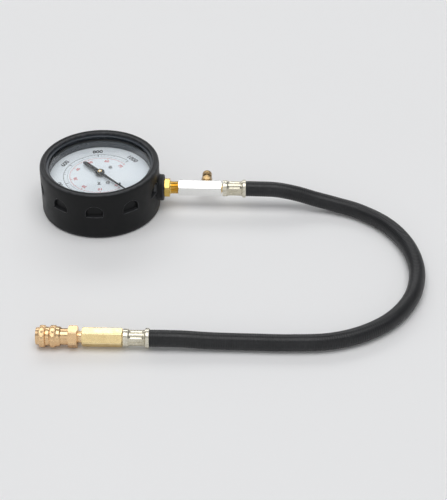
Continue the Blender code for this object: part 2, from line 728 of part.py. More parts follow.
def make_lens_and_bezel():
    cover_r = BEZEL_R - BEZEL_WALL - BEZEL_COVER
    wall_inner = CASE_R + GAP
    bezel = [
        (BEZEL_TOP_Z - BEZEL_DEPTH, BEZEL_R),
        (BEZEL_TOP_Z, BEZEL_R),
        (BEZEL_TOP_Z, cover_r),
        (BEZEL_TOP_Z - BEZEL_FLANGE, cover_r),
        (BEZEL_TOP_Z - BEZEL_FLANGE, wall_inner),
        (BEZEL_TOP_Z - BEZEL_DEPTH, wall_inner),
    ]
    turned_object("bezel_ring", UPRIGHT, bezel, CASE_SEGMENTS, CASE_BLACK)
    rod_object("lens", UPRIGHT, LENS_BOTTOM_Z, LENS_TOP_Z, CASE_R, LARGE_SEGMENTS, LENS_CLEAR)
    gasket = [
        (GASKET_BOTTOM_Z, CASE_R),
        (GASKET_TOP_Z, CASE_R),
        (GASKET_TOP_Z, CASE_R - GASKET_WIDTH),
        (GASKET_BOTTOM_Z, CASE_R - GASKET_WIDTH),
    ]
    turned_object("lens_gasket", UPRIGHT, gasket, FERRULE_SEGMENTS, SEAL_RUBBER)


def make_relief_plug():
    flange_z = CASE_INNER_Z + GAP
    stations = [
        (CASE_BACK_Z, PLUG_R),
        (flange_z, PLUG_R),
        (flange_z, PLUG_R + PLUG_FLANGE),
        (flange_z + PLUG_FLANGE_THICK, PLUG_R + PLUG_FLANGE),
    ]
    turned_object("relief_plug", at(UPRIGHT, PLUG_X), solid(stations), SMALL_SEGMENTS, SEAL_RUBBER)


def screw(name, place, seat_z, shaft_r, head_r, head, length, side=-1, **rider):
    """A pan head screw whose head sits on seat_z. It points down, or up with side = 1."""
    stations = [
        (seat_z + side * length, shaft_r),
        (seat_z, shaft_r),
        (seat_z, head_r),
        (seat_z - side * head * SCREW_SIDE_SHARE, head_r),
        (seat_z - side * head, head_r * SCREW_TOP_SHARE),
    ]
    turned_object(name, at(UPRIGHT, *place), solid(stations), SCREW_SEGMENTS, STEEL, **rider)


def make_case_screws():
    for number, place in enumerate(CASE_SCREWS, 1):
        screw(
            f"case_screw_{number}", place, CASE_BACK_Z - GAP / 2,
            CASE_SCREW_R, CASE_SCREW_HEAD_R, CASE_SCREW_HEAD, CASE_SCREW_LEN, side=1,
        )


# Stem, socket block and Bourdon tube


def make_socket():
    """One brass piece: the block inside the case, the neck through its wall, spanner flats and the thread."""
    side_view = [
        (SHELF_X, BLOCK_BOTTOM_Z),
        (BLOCK_X, BLOCK_BOTTOM_Z),
        (BLOCK_X, FOOT_Z),
        (FOOT_END_X, FOOT_Z),
        (FOOT_END_X, BLOCK_BOTTOM_Z),
        (BLOCK_END_X, BLOCK_BOTTOM_Z),
        (BLOCK_END_X, BLOCK_TOP_Z),
        (BLOCK_X, BLOCK_TOP_Z),
        (BLOCK_X, SHELF_Z),
        (SHELF_X, SHELF_Z),
    ]
    half_width = BLOCK_WIDTH / 2
    socket = extruded_object("stem_socket", SIDE_VIEW, [side_view], -half_width, half_width, BRASS)
    stem = [
        (BLOCK_END_X - STEM_ROOT, NECK_R),
        (FLATS_X, NECK_R),
        *hex_stations(FLATS_X, THREAD_X, FLATS_AF, 0, FLATS_CHAMFER),
        (THREAD_X, THREAD_R),
        (STEM_END_X - THREAD_CHAMFER, THREAD_R),
        (STEM_END_X, THREAD_R - THREAD_CHAMFER),
    ]
    boolean(socket, turned_object("stem_form", STEM_LINE, solid(stem), FITTING_SEGMENTS, None), "UNION")
    cuts = bmesh.new()
    # The way for the pressure, from the thread's end to the tube's pocket
    rod(cuts, STEM_LINE, TUBE_R - TUBE_THICK, STEM_END_X + THREAD_CHAMFER, STEM_BORE_R, PIN_SEGMENTS)
    deep = -TUBE_ENTRY + (TUBE_SOCKET_DEPTH + GAP) / TUBE_R
    outside = -TUBE_ENTRY - TUBE_SOCKET_DEPTH / TUBE_R
    frames = [flat_frame(deep + (outside - deep) * step / 4, TUBE_R, STEM_Z) for step in range(5)]
    swept(cuts, frames, tube_outline(GAP))
    for x, y in MOVEMENT_SCREWS:
        low, high = SHELF_Z - MOVEMENT_SCREW_GRIP - PLATE_THICK, SHELF_Z + PLATE_THICK
        rod(cuts, at(UPRIGHT, x, y), low, high, MOVEMENT_SCREW_R + GAP, PIN_SEGMENTS)
    for x, y in CASE_SCREWS:
        low, high = CASE_BACK_Z, CASE_BACK_Z + CASE_SCREW_LEN
        rod(cuts, at(UPRIGHT, x, y), low, high, CASE_SCREW_R + GAP, PIN_SEGMENTS)
    boolean(socket, finish_object("socket_cuts", cuts, None), "DIFFERENCE")


def tube_outline(grow=0.0):
    """The tube's flat oval section, as (out from the centre, up)."""
    half_thick = TUBE_THICK / 2 + grow
    half_width = TUBE_WIDTH / 2 + grow
    straight = half_width - half_thick
    top = [(x, y + straight) for x, y in arc(0, 0, half_thick, 0, 180, 3)]
    return top + [(-x, -y) for x, y in top]


def make_bourdon_tube():
    """A thin flat tube bent to a C, from its pocket in the socket block round to the tip."""
    start = -TUBE_ENTRY + TUBE_SOCKET_DEPTH / TUBE_R
    turn = math.radians(TUBE_END_DEG - 360) - start
    frames = [flat_frame(start + turn * step / TUBE_STEPS, TUBE_R, STEM_Z) for step in range(TUBE_STEPS + 1)]
    bm = bmesh.new()
    swept(bm, frames, tube_outline(), tube_outline(-TUBE_WALL))
    finish_object("bourdon_tube", bm, PHOSPHOR)


def make_tube_tip(rider):
    """The brass end piece that closes the tube and carries the link's screw."""
    near = TUBE_END + TUBE_ONWARD * GAP
    sides = [near + TUBE_OUT * (TUBE_THICK / 2), near - TUBE_OUT * (TUBE_THICK / 2)]
    outline = hull([(point.x, point.y) for point in sides] + circle(*TIP_EYE, TIP_EYE_R))
    low, high = STEM_Z - TUBE_WIDTH / 2 + GAP, STEM_Z + TUBE_WIDTH / 2
    loops = [outline, circle(*TIP_EYE, LINK_PIN_R + GAP)]
    extruded_object("tube_tip", UPRIGHT, loops, low, high, BRASS, **rider)


def make_link(rider):
    """The flat link from the tube's tip to the sector's tail. Its eye at the tail has play."""
    tail = (LINK_X, TAIL_EYE[1])
    outline = hull(circle(*tail, LINK_WIDTH / 2) + circle(*TIP_EYE, LINK_WIDTH / 2))
    holes = [circle(*tail, LINK_PIN_R + LINK_PLAY), circle(*TIP_EYE, LINK_PIN_R + GAP)]
    extruded_object("link", UPRIGHT, [outline, *holes], LINK_Z, LINK_TOP_Z, BRASS, **rider)
    screw(
        "tip_screw", TIP_EYE, LINK_TOP_Z + GAP, LINK_PIN_R, LINK_PIN_HEAD_R, DIAL_SCREW_HEAD,
        LINK_THICK + GAP + TUBE_WIDTH / 2, **rider,
    )


# Movement


def gear_outline(x, y, pitch_r, teeth, first, last, centre_deg, side=1):
    """Tooth corners from tooth first to tooth last, with tooth 0 centred on centre_deg."""
    pitch_deg = 360 / teeth
    half_tooth = TOOTH_SHARE * pitch_deg / 2
    root_r, tip_r = pitch_r - DEDENDUM, pitch_r + ADDENDUM
    flank = [(root_r, TOOTH_ROOT_SHARE), (pitch_r, 1.0), (tip_r, TOOTH_TIP_SHARE)]
    corners = []
    for number in range(first, last + 1):
        centre = centre_deg + side * number * pitch_deg
        corners += [(r, centre - side * half_tooth * share) for r, share in flank]
        corners += [(r, centre + side * half_tooth * share) for r, share in flank[::-1]]
    return [
        (x + r * math.cos(math.radians(deg)), y + r * math.sin(math.radians(deg))) for r, deg in corners
    ]


def plate_outline():
    ears = [point for place in PILLARS for point in circle(*place, PLATE_EAR_R)]
    return hull(ears + circle(0, 0, PLATE_NOSE_R, SMALL_SEGMENTS) + circle(SECTOR_X, 0, PLATE_EAR_R))


def make_movement_frame():
    back = [plate_outline(), circle(0, 0, PIVOT_R + GAP), circle(SECTOR_X, 0, PIVOT_R + GAP)]
    back += [circle(*place, MOVEMENT_SCREW_R + GAP) for place in MOVEMENT_SCREWS]
    extruded_object("movement_back_plate", UPRIGHT, back, BACK_PLATE_Z, BACK_PLATE_TOP_Z, BRASS)
    front = [plate_outline(), circle(0, 0, ARBOR_R + GAP), circle(SECTOR_X, 0, PIVOT_R + GAP)]
    front += [circle(*place, DIAL_SCREW_R + GAP) for place in DIAL_SCREWS]
    extruded_object("movement_front_plate", UPRIGHT, front, FRONT_PLATE_Z, FRONT_PLATE_TOP_Z, BRASS)
    low, high = BACK_PLATE_TOP_Z + GAP, FRONT_PLATE_Z - GAP
    for number, place in enumerate(PILLARS, 1):
        name = f"movement_pillar_{number}"
        rod_object(name, at(UPRIGHT, *place), low, high, PILLAR_R, PIN_SEGMENTS, BRASS)
    for number, place in enumerate(MOVEMENT_SCREWS, 1):
        screw(
            f"movement_screw_{number}", place, BACK_PLATE_TOP_Z + GAP,
            MOVEMENT_SCREW_R, MOVEMENT_SCREW_HEAD_R, MOVEMENT_SCREW_HEAD,
            PLATE_THICK + 2 * GAP + MOVEMENT_SCREW_GRIP,
        )


def make_sector(rider):
    """The toothed sector, its tail and its arbor."""
    pitch_deg = 360 / SECTOR_FULL_TEETH
    first, last = -SECTOR_SPARE_TEETH, round(SECTOR_TRAVEL_DEG / pitch_deg) + SECTOR_SPARE_TEETH
    outline = gear_outline(SECTOR_X, 0, SECTOR_PITCH_R, SECTOR_FULL_TEETH, first, last, 180, side=-1)
    outline += arc(SECTOR_X, 0, SECTOR_HUB_R, SECTOR_HUB_FROM_DEG, TAIL_DEG + TAIL_ROOT_DEG, 4)
    outline += arc(*TAIL_EYE, TAIL_EYE_R, TAIL_DEG + TAIL_EYE_DEG, TAIL_DEG - TAIL_EYE_DEG, 8)
    outline += arc(SECTOR_X, 0, SECTOR_HUB_R, TAIL_DEG - TAIL_ROOT_DEG, SECTOR_HUB_TO_DEG, 4)
    rim_r = SECTOR_PITCH_R - DEDENDUM - SECTOR_RIM
    near_r = SECTOR_HUB_R + SECTOR_WINDOW_SHARE * (rim_r - SECTOR_HUB_R)
    start_deg = 180 - last * pitch_deg + SECTOR_SPOKE_DEG
    end_deg = 180 - first * pitch_deg - SECTOR_SPOKE_DEG
    window = arc(SECTOR_X, 0, rim_r, start_deg, end_deg, 8)
    window += arc(SECTOR_X, 0, near_r, end_deg, start_deg, 4)
    holes = [window, circle(SECTOR_X, 0, ARBOR_R + GAP), circle(*TAIL_EYE, LINK_PIN_R + GAP)]
    extruded_object("sector_gear", UPRIGHT, [outline, *holes], GEAR_Z, GEAR_TOP_Z, BRASS, **rider)
    arbor = [
        (BACK_PLATE_Z + PIVOT_SET_IN, PIVOT_R),
        (BACK_PLATE_TOP_Z + GAP, PIVOT_R),
        (BACK_PLATE_TOP_Z + GAP, ARBOR_R),
        (FRONT_PLATE_Z - GAP, ARBOR_R),
        (FRONT_PLATE_Z - GAP, PIVOT_R),
        (FRONT_PLATE_TOP_Z - PIVOT_SET_IN, PIVOT_R),
    ]
    turned_object("sector_arbor", at(UPRIGHT, SECTOR_X), solid(arbor), SCREW_SEGMENTS, STEEL, **rider)
    low, high = GEAR_Z - GAP, LINK_TOP_Z + GAP
    pin = [
        (low - LINK_PIN_HEAD, LINK_PIN_HEAD_R),
        (low, LINK_PIN_HEAD_R),
        (low, LINK_PIN_R),
        (high, LINK_PIN_R),
        (high, LINK_PIN_HEAD_R),
        (high + LINK_PIN_HEAD, LINK_PIN_HEAD_R),
    ]
    turned_object("link_pin", at(UPRIGHT, *TAIL_EYE), solid(pin), SCREW_SEGMENTS, STEEL, **rider)


def make_pinion(rider):
    """The pointer's arbor with the pinion cut on it."""
    teeth = gear_outline(0, 0, PINION_PITCH_R, PINION_TEETH, 0, PINION_TEETH - 1, 180 / PINION_TEETH)
    low, high = GEAR_Z - GAP, GEAR_TOP_Z + GAP
    pinion = extruded_object("pinion_arbor", UPRIGHT, [teeth], low, high, STEEL, **rider)
    top_z = POINTER_Z + HUB_THICK
    arbor = [
        (BACK_PLATE_Z + PIVOT_SET_IN, PIVOT_R),
        (BACK_PLATE_TOP_Z + GAP, PIVOT_R),
        (BACK_PLATE_TOP_Z + GAP, ARBOR_R),
        (top_z, ARBOR_R),
        (top_z + HUB_EDGE, ARBOR_R - ARBOR_EDGE),
    ]
    boolean(pinion, turned_object("arbor_form", UPRIGHT, solid(arbor), SCREW_SEGMENTS, None), "UNION")


def make_hairspring():
    """A flat spiral round the pointer's arbor, with its outer end at the stud."""
    middle_z = (GEAR_TOP_Z + GAP + FRONT_PLATE_Z) / 2
    steps = SPRING_STEPS * HAIRSPRING_TURNS
    frames = []
    for step in range(steps + 1):
        r = HAIRSPRING_START_R + (HAIRSPRING_END_R - HAIRSPRING_START_R) * step / steps
        frames.append(flat_frame(math.pi + math.tau * HAIRSPRING_TURNS * step / steps, r, middle_z))
    half_thick, half_height = HAIRSPRING_THICK / 2, HAIRSPRING_HEIGHT / 2
    strip = [
        (half_thick, half_height),
        (-half_thick, half_height),
        (-half_thick, -half_height),
        (half_thick, -half_height),
    ]
    bm = bmesh.new()
    swept(bm, frames, strip)
    finish_object("hairspring", bm, PHOSPHOR)
    low, high = BACK_PLATE_TOP_Z + GAP, FRONT_PLATE_Z - GAP
    rod_object("hairspring_stud", at(UPRIGHT, STUD_X), low, high, STUD_R, PIN_SEGMENTS, BRASS)


# Dial and pointer


def make_dial():
    loops = [circle(0, 0, DIAL_R, LARGE_SEGMENTS), circle(0, 0, DIAL_BORE_R)]
    loops += [circle(*STOP_PIN, STOP_PIN_R + GAP)]
    loops += [circle(*place, DIAL_SCREW_R + GAP) for place in DIAL_SCREWS]
    extruded_object("dial", UPRIGHT, loops, DIAL_BOTTOM_Z, DIAL_TOP_Z, DIAL_WHITE)
    for number, place in enumerate(DIAL_SCREWS, 1):
        screw(
            f"dial_screw_{number}", place, DIAL_TOP_Z + GAP,
            DIAL_SCREW_R, DIAL_SCREW_HEAD_R, DIAL_SCREW_HEAD,
            DIAL_THICK + 2 * GAP + PLATE_THICK - PIVOT_SET_IN,
        )
    low, high = DIAL_BOTTOM_Z, POINTER_Z + POINTER_THICK
    rod_object("zero_stop_pin", at(UPRIGHT, *STOP_PIN), low, high, STOP_PIN_R, SCREW_SEGMENTS, STEEL)


def make_pointer(rider):
    """The needle with its counterweight tail, at rest on zero, and the bush that fixes it to the arbor."""
    turn = Matrix.Rotation(math.radians(ZERO_ANGLE_DEG), 4, "Z")
    half_tip, half_root, half_tail = POINTER_TIP_WIDTH / 2, POINTER_ROOT_WIDTH / 2, POINTER_TAIL_WIDTH / 2
    root_deg = math.degrees(math.asin(half_root / HUB_R))
    tail_deg = math.degrees(math.asin(half_tail / HUB_R))
    outline = [(POINTER_LEN - half_tip, -half_tip), (POINTER_LEN, 0), (POINTER_LEN - half_tip, half_tip)]
    outline += arc(0, 0, HUB_R, root_deg, 180 - tail_deg, 6)
    outline += arc(half_tail - POINTER_TAIL, 0, half_tail, 90, 270, 6)
    outline += arc(0, 0, HUB_R, 180 + tail_deg, 360 - root_deg, 6)
    hole_r = BUSH_R + GAP
    pointer = extruded_object(
        "pointer", turn, [outline, circle(0, 0, hole_r)],
        POINTER_Z, POINTER_Z + POINTER_THICK, POINTER_BLACK, **rider,
    )
    low, high = POINTER_Z + POINTER_THICK / 2, POINTER_Z + HUB_THICK
    hub = [
        (low, HUB_R),
        (high - HUB_EDGE, HUB_R),
        (high, HUB_R - HUB_EDGE),
        (high, hole_r),
        (low, hole_r),
    ]
    boolean(pointer, turned_object("hub_form", UPRIGHT, hub, PIN_SEGMENTS, None), "UNION")
    top_z = high + HUB_EDGE
    bush = [
        (top_z - BUSH_HEIGHT, BUSH_R),
        (top_z - BUSH_EDGE, BUSH_R),
        (top_z, BUSH_R - BUSH_EDGE),
        (top_z, ARBOR_R + GAP),
        (top_z - BUSH_HEIGHT, ARBOR_R + GAP),
    ]
    turned_object("pointer_bush", UPRIGHT, bush, PIN_SEGMENTS, BRASS, **rider)


# Manifold and bleed valve


def make_manifold():
    """The plated hex bar, tapped at both ends and from its back flat for the valve."""
    stem_hole, hose_hole = THREAD_R + GAP, NIPPLE_THREAD_R + GAP
    stem_depth = STEM_END_X + GAP
    hose_depth = MANIFOLD_END_X - NIPPLE_THREAD_LEN - GAP
    stations = [
        *hex_stations(MANIFOLD_X, MANIFOLD_END_X, MANIFOLD_AF, 0, HEX_CHAMFER),
        (MANIFOLD_END_X, hose_hole),
        (hose_depth, hose_hole),
        (hose_depth, MANIFOLD_BORE_R),
        (stem_depth, MANIFOLD_BORE_R),
        (stem_depth, stem_hole),
        (MANIFOLD_X, stem_hole),
    ]
    manifold = turned_object("manifold", STEM_LINE, stations, FITTING_SEGMENTS, NICKEL)
    pocket_end = VALVE_SEAT_Y - GAP
    hole = [
        (VALVE_POCKET_Y, VALVE_POCKET_R),
        (pocket_end, VALVE_POCKET_R),
        (pocket_end, VALVE_SHANK_R + GAP),
        (MANIFOLD_AF, VALVE_SHANK_R + GAP),
    ]
    cut = turned_object("valve_hole", VALVE_LINE, solid(hole), SMALL_SEGMENTS, None)
    boolean(manifold, cut, "DIFFERENCE")


def make_bleed_valve(rider):
    stem_hole = VALVE_STEM_R + GAP
    body = [
        (VALVE_SEAT_Y, VALVE_SHANK_R),
        (VALVE_FACE_Y, VALVE_SHANK_R),
        *hex_stations(VALVE_FACE_Y, VALVE_HEX_END_Y, VALVE_HEX_AF, 0, VALVE_HEX_CHAMFER),
        (VALVE_HEX_END_Y, VALVE_BARREL_R),
        (VALVE_TOP_Y - VALVE_BARREL_EDGE, VALVE_BARREL_R),
        (VALVE_TOP_Y, VALVE_BARREL_R - VALVE_BARREL_EDGE),
        (VALVE_TOP_Y, VALVE_CHAMBER_R),
        (CHAMBER_Y, VALVE_CHAMBER_R),
        (CHAMBER_Y, stem_hole),
        (VALVE_SEAT_Y, stem_hole),
    ]
    turned_object("bleed_valve_body", VALVE_LINE, body, FITTING_SEGMENTS, BRASS)
    cap = [
        (CAP_Y, CAP_R),
        (CAP_END_Y - CAP_EDGE, CAP_R),
        (CAP_END_Y, CAP_R - CAP_EDGE),
        (CAP_END_Y, stem_hole),
        (CAP_Y, stem_hole),
    ]
    turned_object("bleed_button", VALVE_LINE, cap, FITTING_SEGMENTS, BRASS, **rider)
    head_y = SEAL_Y - GAP
    stem = [
        (head_y - VALVE_HEAD, VALVE_HEAD_R - VALVE_HEAD_EDGE),
        (head_y - VALVE_HEAD + VALVE_HEAD_EDGE, VALVE_HEAD_R),
        (head_y, VALVE_HEAD_R),
        (head_y, VALVE_STEM_R),
        (CAP_END_Y - VALVE_HEAD_EDGE, VALVE_STEM_R),
    ]
    turned_object("bleed_stem", VALVE_LINE, solid(stem), PIN_SEGMENTS, BRASS, **rider)
    seal = [
        (SEAL_Y, VALVE_POCKET_R - GAP),
        (SEAL_Y + VALVE_SEAL_THICK, VALVE_POCKET_R - GAP),
        (SEAL_Y + VALVE_SEAL_THICK, stem_hole),
        (SEAL_Y, stem_hole),
    ]
    turned_object("bleed_seal", VALVE_LINE, seal, PIN_SEGMENTS, SEAL_RUBBER, **rider)
    helix_object(
        "bleed_spring", VALVE_LINE, VALVE_SPRING_R, VALVE_SPRING_WIRE_R,
        CHAMBER_Y + GAP, CAP_Y - GAP, VALVE_SPRING_TURNS, STEEL,
    )


# Hose, nipple and ferrules


def barb_stations(start, end):
    """Saw-tooth rings along a hose tail, from the fitting towards the hose."""
    pitch = (end - start) / BARB_COUNT
    stations = []
    for number in range(BARB_COUNT):
        stations.append((start + pitch * number, BARB_R if number else NIPPLE_SHANK_R))
        stations.append((start + pitch * (number + 1) - BARB_STEP, BARB_ROOT_R))
    return stations


def make_ferrule(name, frame, collar_x):
    """The crimped shell: a collar, a fluted waist and a bell that the hose enters."""

    def fluted(angle):
        return FERRULE_WAIST_R - FLUTE_DEPTH * (0.5 + 0.5 * math.cos(FLUTES * angle))

    collar = collar_x + FERRULE_COLLAR_LEN
    bell = collar_x + FERRULE_BELL
    bore = BARB_R + GAP
    stations = [
        (collar_x, FERRULE_COLLAR_R),
        (collar, FERRULE_COLLAR_R),
        (collar + FERRULE_STEP, FERRULE_WAIST_R),
        (collar + FERRULE_STEP + FERRULE_SLOPE, fluted),
        (bell - FERRULE_STEP - 2 * FERRULE_SLOPE, fluted),
        (bell - FERRULE_STEP - FERRULE_SLOPE, FERRULE_BEAD_R),
        (bell - GAP, FERRULE_MOUTH_R),
        (collar_x + FERRULE_LEN, FERRULE_MOUTH_R),
        (collar_x + FERRULE_LEN, HOSE_R + GAP),
        (bell, HOSE_R + GAP),
        (bell, bore),
        (collar_x, bore),
    ]
    turned_object(name, frame, stations, FERRULE_SEGMENTS, FERRULE_NICKEL)


def make_gauge_end_fitting():
    thread_x = MANIFOLD_END_X - NIPPLE_THREAD_LEN
    shank_x = MANIFOLD_END_X + GAP
    bell_x = FERRULE_X + FERRULE_BELL
    stations = [
        (thread_x, NIPPLE_THREAD_R - NIPPLE_CHAMFER),
        (thread_x + NIPPLE_CHAMFER, NIPPLE_THREAD_R),
        (shank_x, NIPPLE_THREAD_R),
        (shank_x, NIPPLE_SHANK_R),
        *barb_stations(FERRULE_X + FERRULE_COLLAR_LEN, bell_x),
        (bell_x, NIPPLE_BORE_R),
        (thread_x, NIPPLE_BORE_R),
    ]
    turned_object("hose_nipple", STEM_LINE, stations, SMALL_SEGMENTS, BRASS)
    make_ferrule("gauge_ferrule", STEM_LINE, FERRULE_X)


def make_far_bar():
    """The hex bar on the hose's far end: barbs to the hose, tapped for the coupler."""
    tapped_r = COUPLER_NECK_R + GAP
    tapped_x = NECK_END_X + 2 * GAP
    stations = [
        *hex_stations(BAR_X, BAR_END_X, BAR_AF, 30, HEX_CHAMFER),
        (BAR_END_X, NIPPLE_SHANK_R),
        *barb_stations(FAR_COLLAR_X + FERRULE_COLLAR_LEN, FAR_BELL_X),
        (FAR_BELL_X, NIPPLE_BORE_R),
        (tapped_x, NIPPLE_BORE_R),
        (tapped_x, tapped_r),
        (BAR_X, tapped_r),
    ]
    turned_object("far_hex_bar", FAR_LINE, stations, FITTING_SEGMENTS, BRASS)
    make_ferrule("far_ferrule", FAR_LINE, FAR_COLLAR_X)


def smooth_curve(points, steps):
    """Points on a smooth curve through the route, with the same number of steps between each two."""
    ends = [points[0] * 2 - points[1], *points, points[-1] * 2 - points[-2]]
    made = [points[0]]
    for before, start, end, after in zip(ends, ends[1:], ends[2:], ends[3:]):
        for step in range(1, steps + 1):
            t = step / steps
            rise = (end - before) * t
            bend = (2 * before - 5 * start + 4 * end - after) * t * t
            turn = (3 * start - before - 3 * end + after) * t**3
            made.append((2 * start + rise + bend + turn) / 2)
    return made


def make_hose():
    fine = smooth_curve([Vector(point) for point in HOSE_ROUTE], 12)
    lengths = [0.0]
    for a, b in zip(fine, fine[1:]):
        lengths.append(lengths[-1] + (b - a).length)
    count = round(lengths[-1] / (HOSE_POINT_EVERY * 2 * HOSE_R))
    curve = bpy.data.curves.new("hose", "CURVE")
    curve.dimensions = "3D"
    curve.bevel_depth = HOSE_R * MM
    curve.bevel_resolution = HOSE_BEVEL_STEPS
    curve.use_fill_caps = True
    spline = curve.splines.new("POLY")
    spline.points.add(count)
    for number in range(count + 1):
        target = lengths[-1] * number / count
        index = min(sum(length < target for length in lengths), len(fine) - 1)
        spline.points[number].co = (*(fine[index] * MM), 1)
    curve.materials.append(HOSE_RUBBER)
    hose = bpy.data.objects.new("hose", curve)
    bpy.context.scene.collection.objects.link(hose)


# Quick coupler


def make_coupler_body():
    """The body: neck into the bar, hex, rear land under the sleeve, and the socket for the plug."""
    groove_r = COUPLER_BARREL_R - RING_OUT / 2
    groove_x, groove_end_x = RING_X - GAP / 2, RING_X + RING_WIRE + GAP / 2
    seal_low, seal_high = O_RING_X - O_RING_R - GAP / 2, O_RING_X + O_RING_R + GAP / 2
    stations = [
        (NOSE_X, COUPLER_BARREL_R),
        (groove_x, COUPLER_BARREL_R),
        (groove_x, groove_r),
        (groove_end_x, groove_r),
        (groove_end_x, COUPLER_BARREL_R),
        (SHOULDER_X, COUPLER_BARREL_R),
        (SHOULDER_X, COUPLER_REAR_R),
        (COUPLER_HEX_X, COUPLER_REAR_R),
        *hex_stations(COUPLER_HEX_X, COUPLER_HEX_END_X, COUPLER_HEX_AF, 30, HEX_CHAMFER),
        (COUPLER_HEX_END_X, COUPLER_NECK_R),
        (NECK_END_X, COUPLER_NECK_R),
        (NECK_END_X, NIPPLE_BORE_R),
        (SOCKET_FLOOR_X, NIPPLE_BORE_R),
        (SOCKET_FLOOR_X, COUPLER_SOCKET_R),
        (seal_high, COUPLER_SOCKET_R),
        (seal_high, COUPLER_SOCKET_R + O_RING_R),
        (seal_low, COUPLER_SOCKET_R + O_RING_R),
        (seal_low, COUPLER_SOCKET_R),
        (NOSE_X + COUPLER_SOCKET_EDGE, COUPLER_SOCKET_R),
        (NOSE_X, COUPLER_SOCKET_R + COUPLER_SOCKET_EDGE),
    ]
    body = turned_object("coupler_body", FAR_LINE, stations, FITTING_SEGMENTS, BRASS)
    cuts = bmesh.new()
    for number in range(BALL_COUNT):
        turn = Matrix.Rotation(math.tau * number / BALL_COUNT, 4, "X")
        line = at(UPRIGHT, BALL_X, FAR_Y, FAR_Z) @ turn
        rod(cuts, line, COUPLER_SOCKET_R / 2, COUPLER_BARREL_R + 2 * GAP, BALL_R + GAP, SCREW_SEGMENTS)
    boolean(body, finish_object("ball_holes", cuts, None), "DIFFERENCE")


def make_coupler_balls():
    for number in range(BALL_COUNT):
        angle = math.tau * number / BALL_COUNT
        out = Vector((0, -math.sin(angle), math.cos(angle)))
        bm = bmesh.new()
        bmesh.ops.create_uvsphere(bm, u_segments=8, v_segments=6, radius=BALL_R)
        bmesh.ops.translate(bm, verts=bm.verts, vec=Vector((BALL_X, FAR_Y, FAR_Z)) + out * BALL_CENTRE_R)
        finish_object(f"lock_ball_{number + 1}", bm, STEEL)


def make_coupler_sleeve(rider):
    """The ribbed sleeve that is drawn back to free the plug."""
    rib_1 = SLEEVE_X + SLEEVE_LIP_LEN
    groove = rib_1 + SLEEVE_RIB_LEN
    rib_2 = groove + SLEEVE_GROOVE_LEN
    tail = rib_2 + SLEEVE_RIB_LEN
    tail_r = SLEEVE_GROOVE_R + SLEEVE_EDGE / 2
    stations = [
        (SLEEVE_X, SLEEVE_LIP_R - SLEEVE_EDGE / 2),
        (rib_1, SLEEVE_LIP_R),
        (rib_1 + SLEEVE_EDGE, SLEEVE_R),
        (groove - SLEEVE_EDGE, SLEEVE_R),
        (groove, SLEEVE_GROOVE_R),
        (rib_2, SLEEVE_GROOVE_R),
        (rib_2 + SLEEVE_EDGE, SLEEVE_R),
        (tail - SLEEVE_EDGE, SLEEVE_R),
        (tail, tail_r),
        (SLEEVE_END_X, tail_r - SLEEVE_EDGE),
        (SLEEVE_END_X, SLEEVE_CHAMBER_R),
        (LAND_END_X, SLEEVE_CHAMBER_R),
        (LAND_END_X, SLEEVE_LAND_R),
        (MOUTH_STEP_X, SLEEVE_LAND_R),
        (MOUTH_STEP_X, SLEEVE_LIP_R - SLEEVE_LIP_WALL),
        (SLEEVE_X, SLEEVE_LIP_R - SLEEVE_LIP_WALL),
    ]
    turned_object("coupler_sleeve", FAR_LINE, stations, FITTING_SEGMENTS, BRASS, **rider)


def make_coupler_small_parts():
    helix_object(
        "sleeve_spring", FAR_LINE, SPRING_MEAN_R, SLEEVE_SPRING_WIRE_R,
        LAND_END_X + GAP, SHOULDER_X - GAP, SLEEVE_SPRING_TURNS, STEEL,
    )
    inner_r = COUPLER_BARREL_R - RING_OUT / 2 + GAP / 2
    outer_r = COUPLER_BARREL_R + RING_OUT - GAP
    ring_end_x = RING_X + RING_WIRE
    ring = [(RING_X, inner_r), (RING_X, outer_r), (ring_end_x, outer_r), (ring_end_x, inner_r)]
    turned_object("retaining_ring", FAR_LINE, ring, FITTING_SEGMENTS, STEEL)
    mean_r = COUPLER_SOCKET_R + (O_RING_R - GAP) / 4
    section = [(O_RING_X + x, mean_r + y) for x, y in circle(0, 0, O_RING_R * O_RING_SQUEEZE_SHARE, 5)]
    turned_object("socket_o_ring", FAR_LINE, section, SMALL_SEGMENTS, SEAL_RUBBER)


make_boot()
make_case()
make_lens_and_bezel()
make_relief_plug()
make_case_screws()
make_socket()
make_bourdon_tube()
make_tube_tip(TIP_RIDER)
make_link(TIP_RIDER)
make_movement_frame()
make_sector(SECTOR_RIDER)
make_pinion(POINTER_RIDER)
make_hairspring()
make_dial()
make_pointer(POINTER_RIDER)
make_manifold()
make_bleed_valve(VALVE_RIDER)
make_gauge_end_fitting()
make_hose()
make_far_bar()
make_coupler_body()
make_coupler_balls()
make_coupler_sleeve(SLEEVE_RIDER)
make_coupler_small_parts()
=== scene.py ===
import math

import bmesh
import bpy
from mathutils import Matrix, Vector

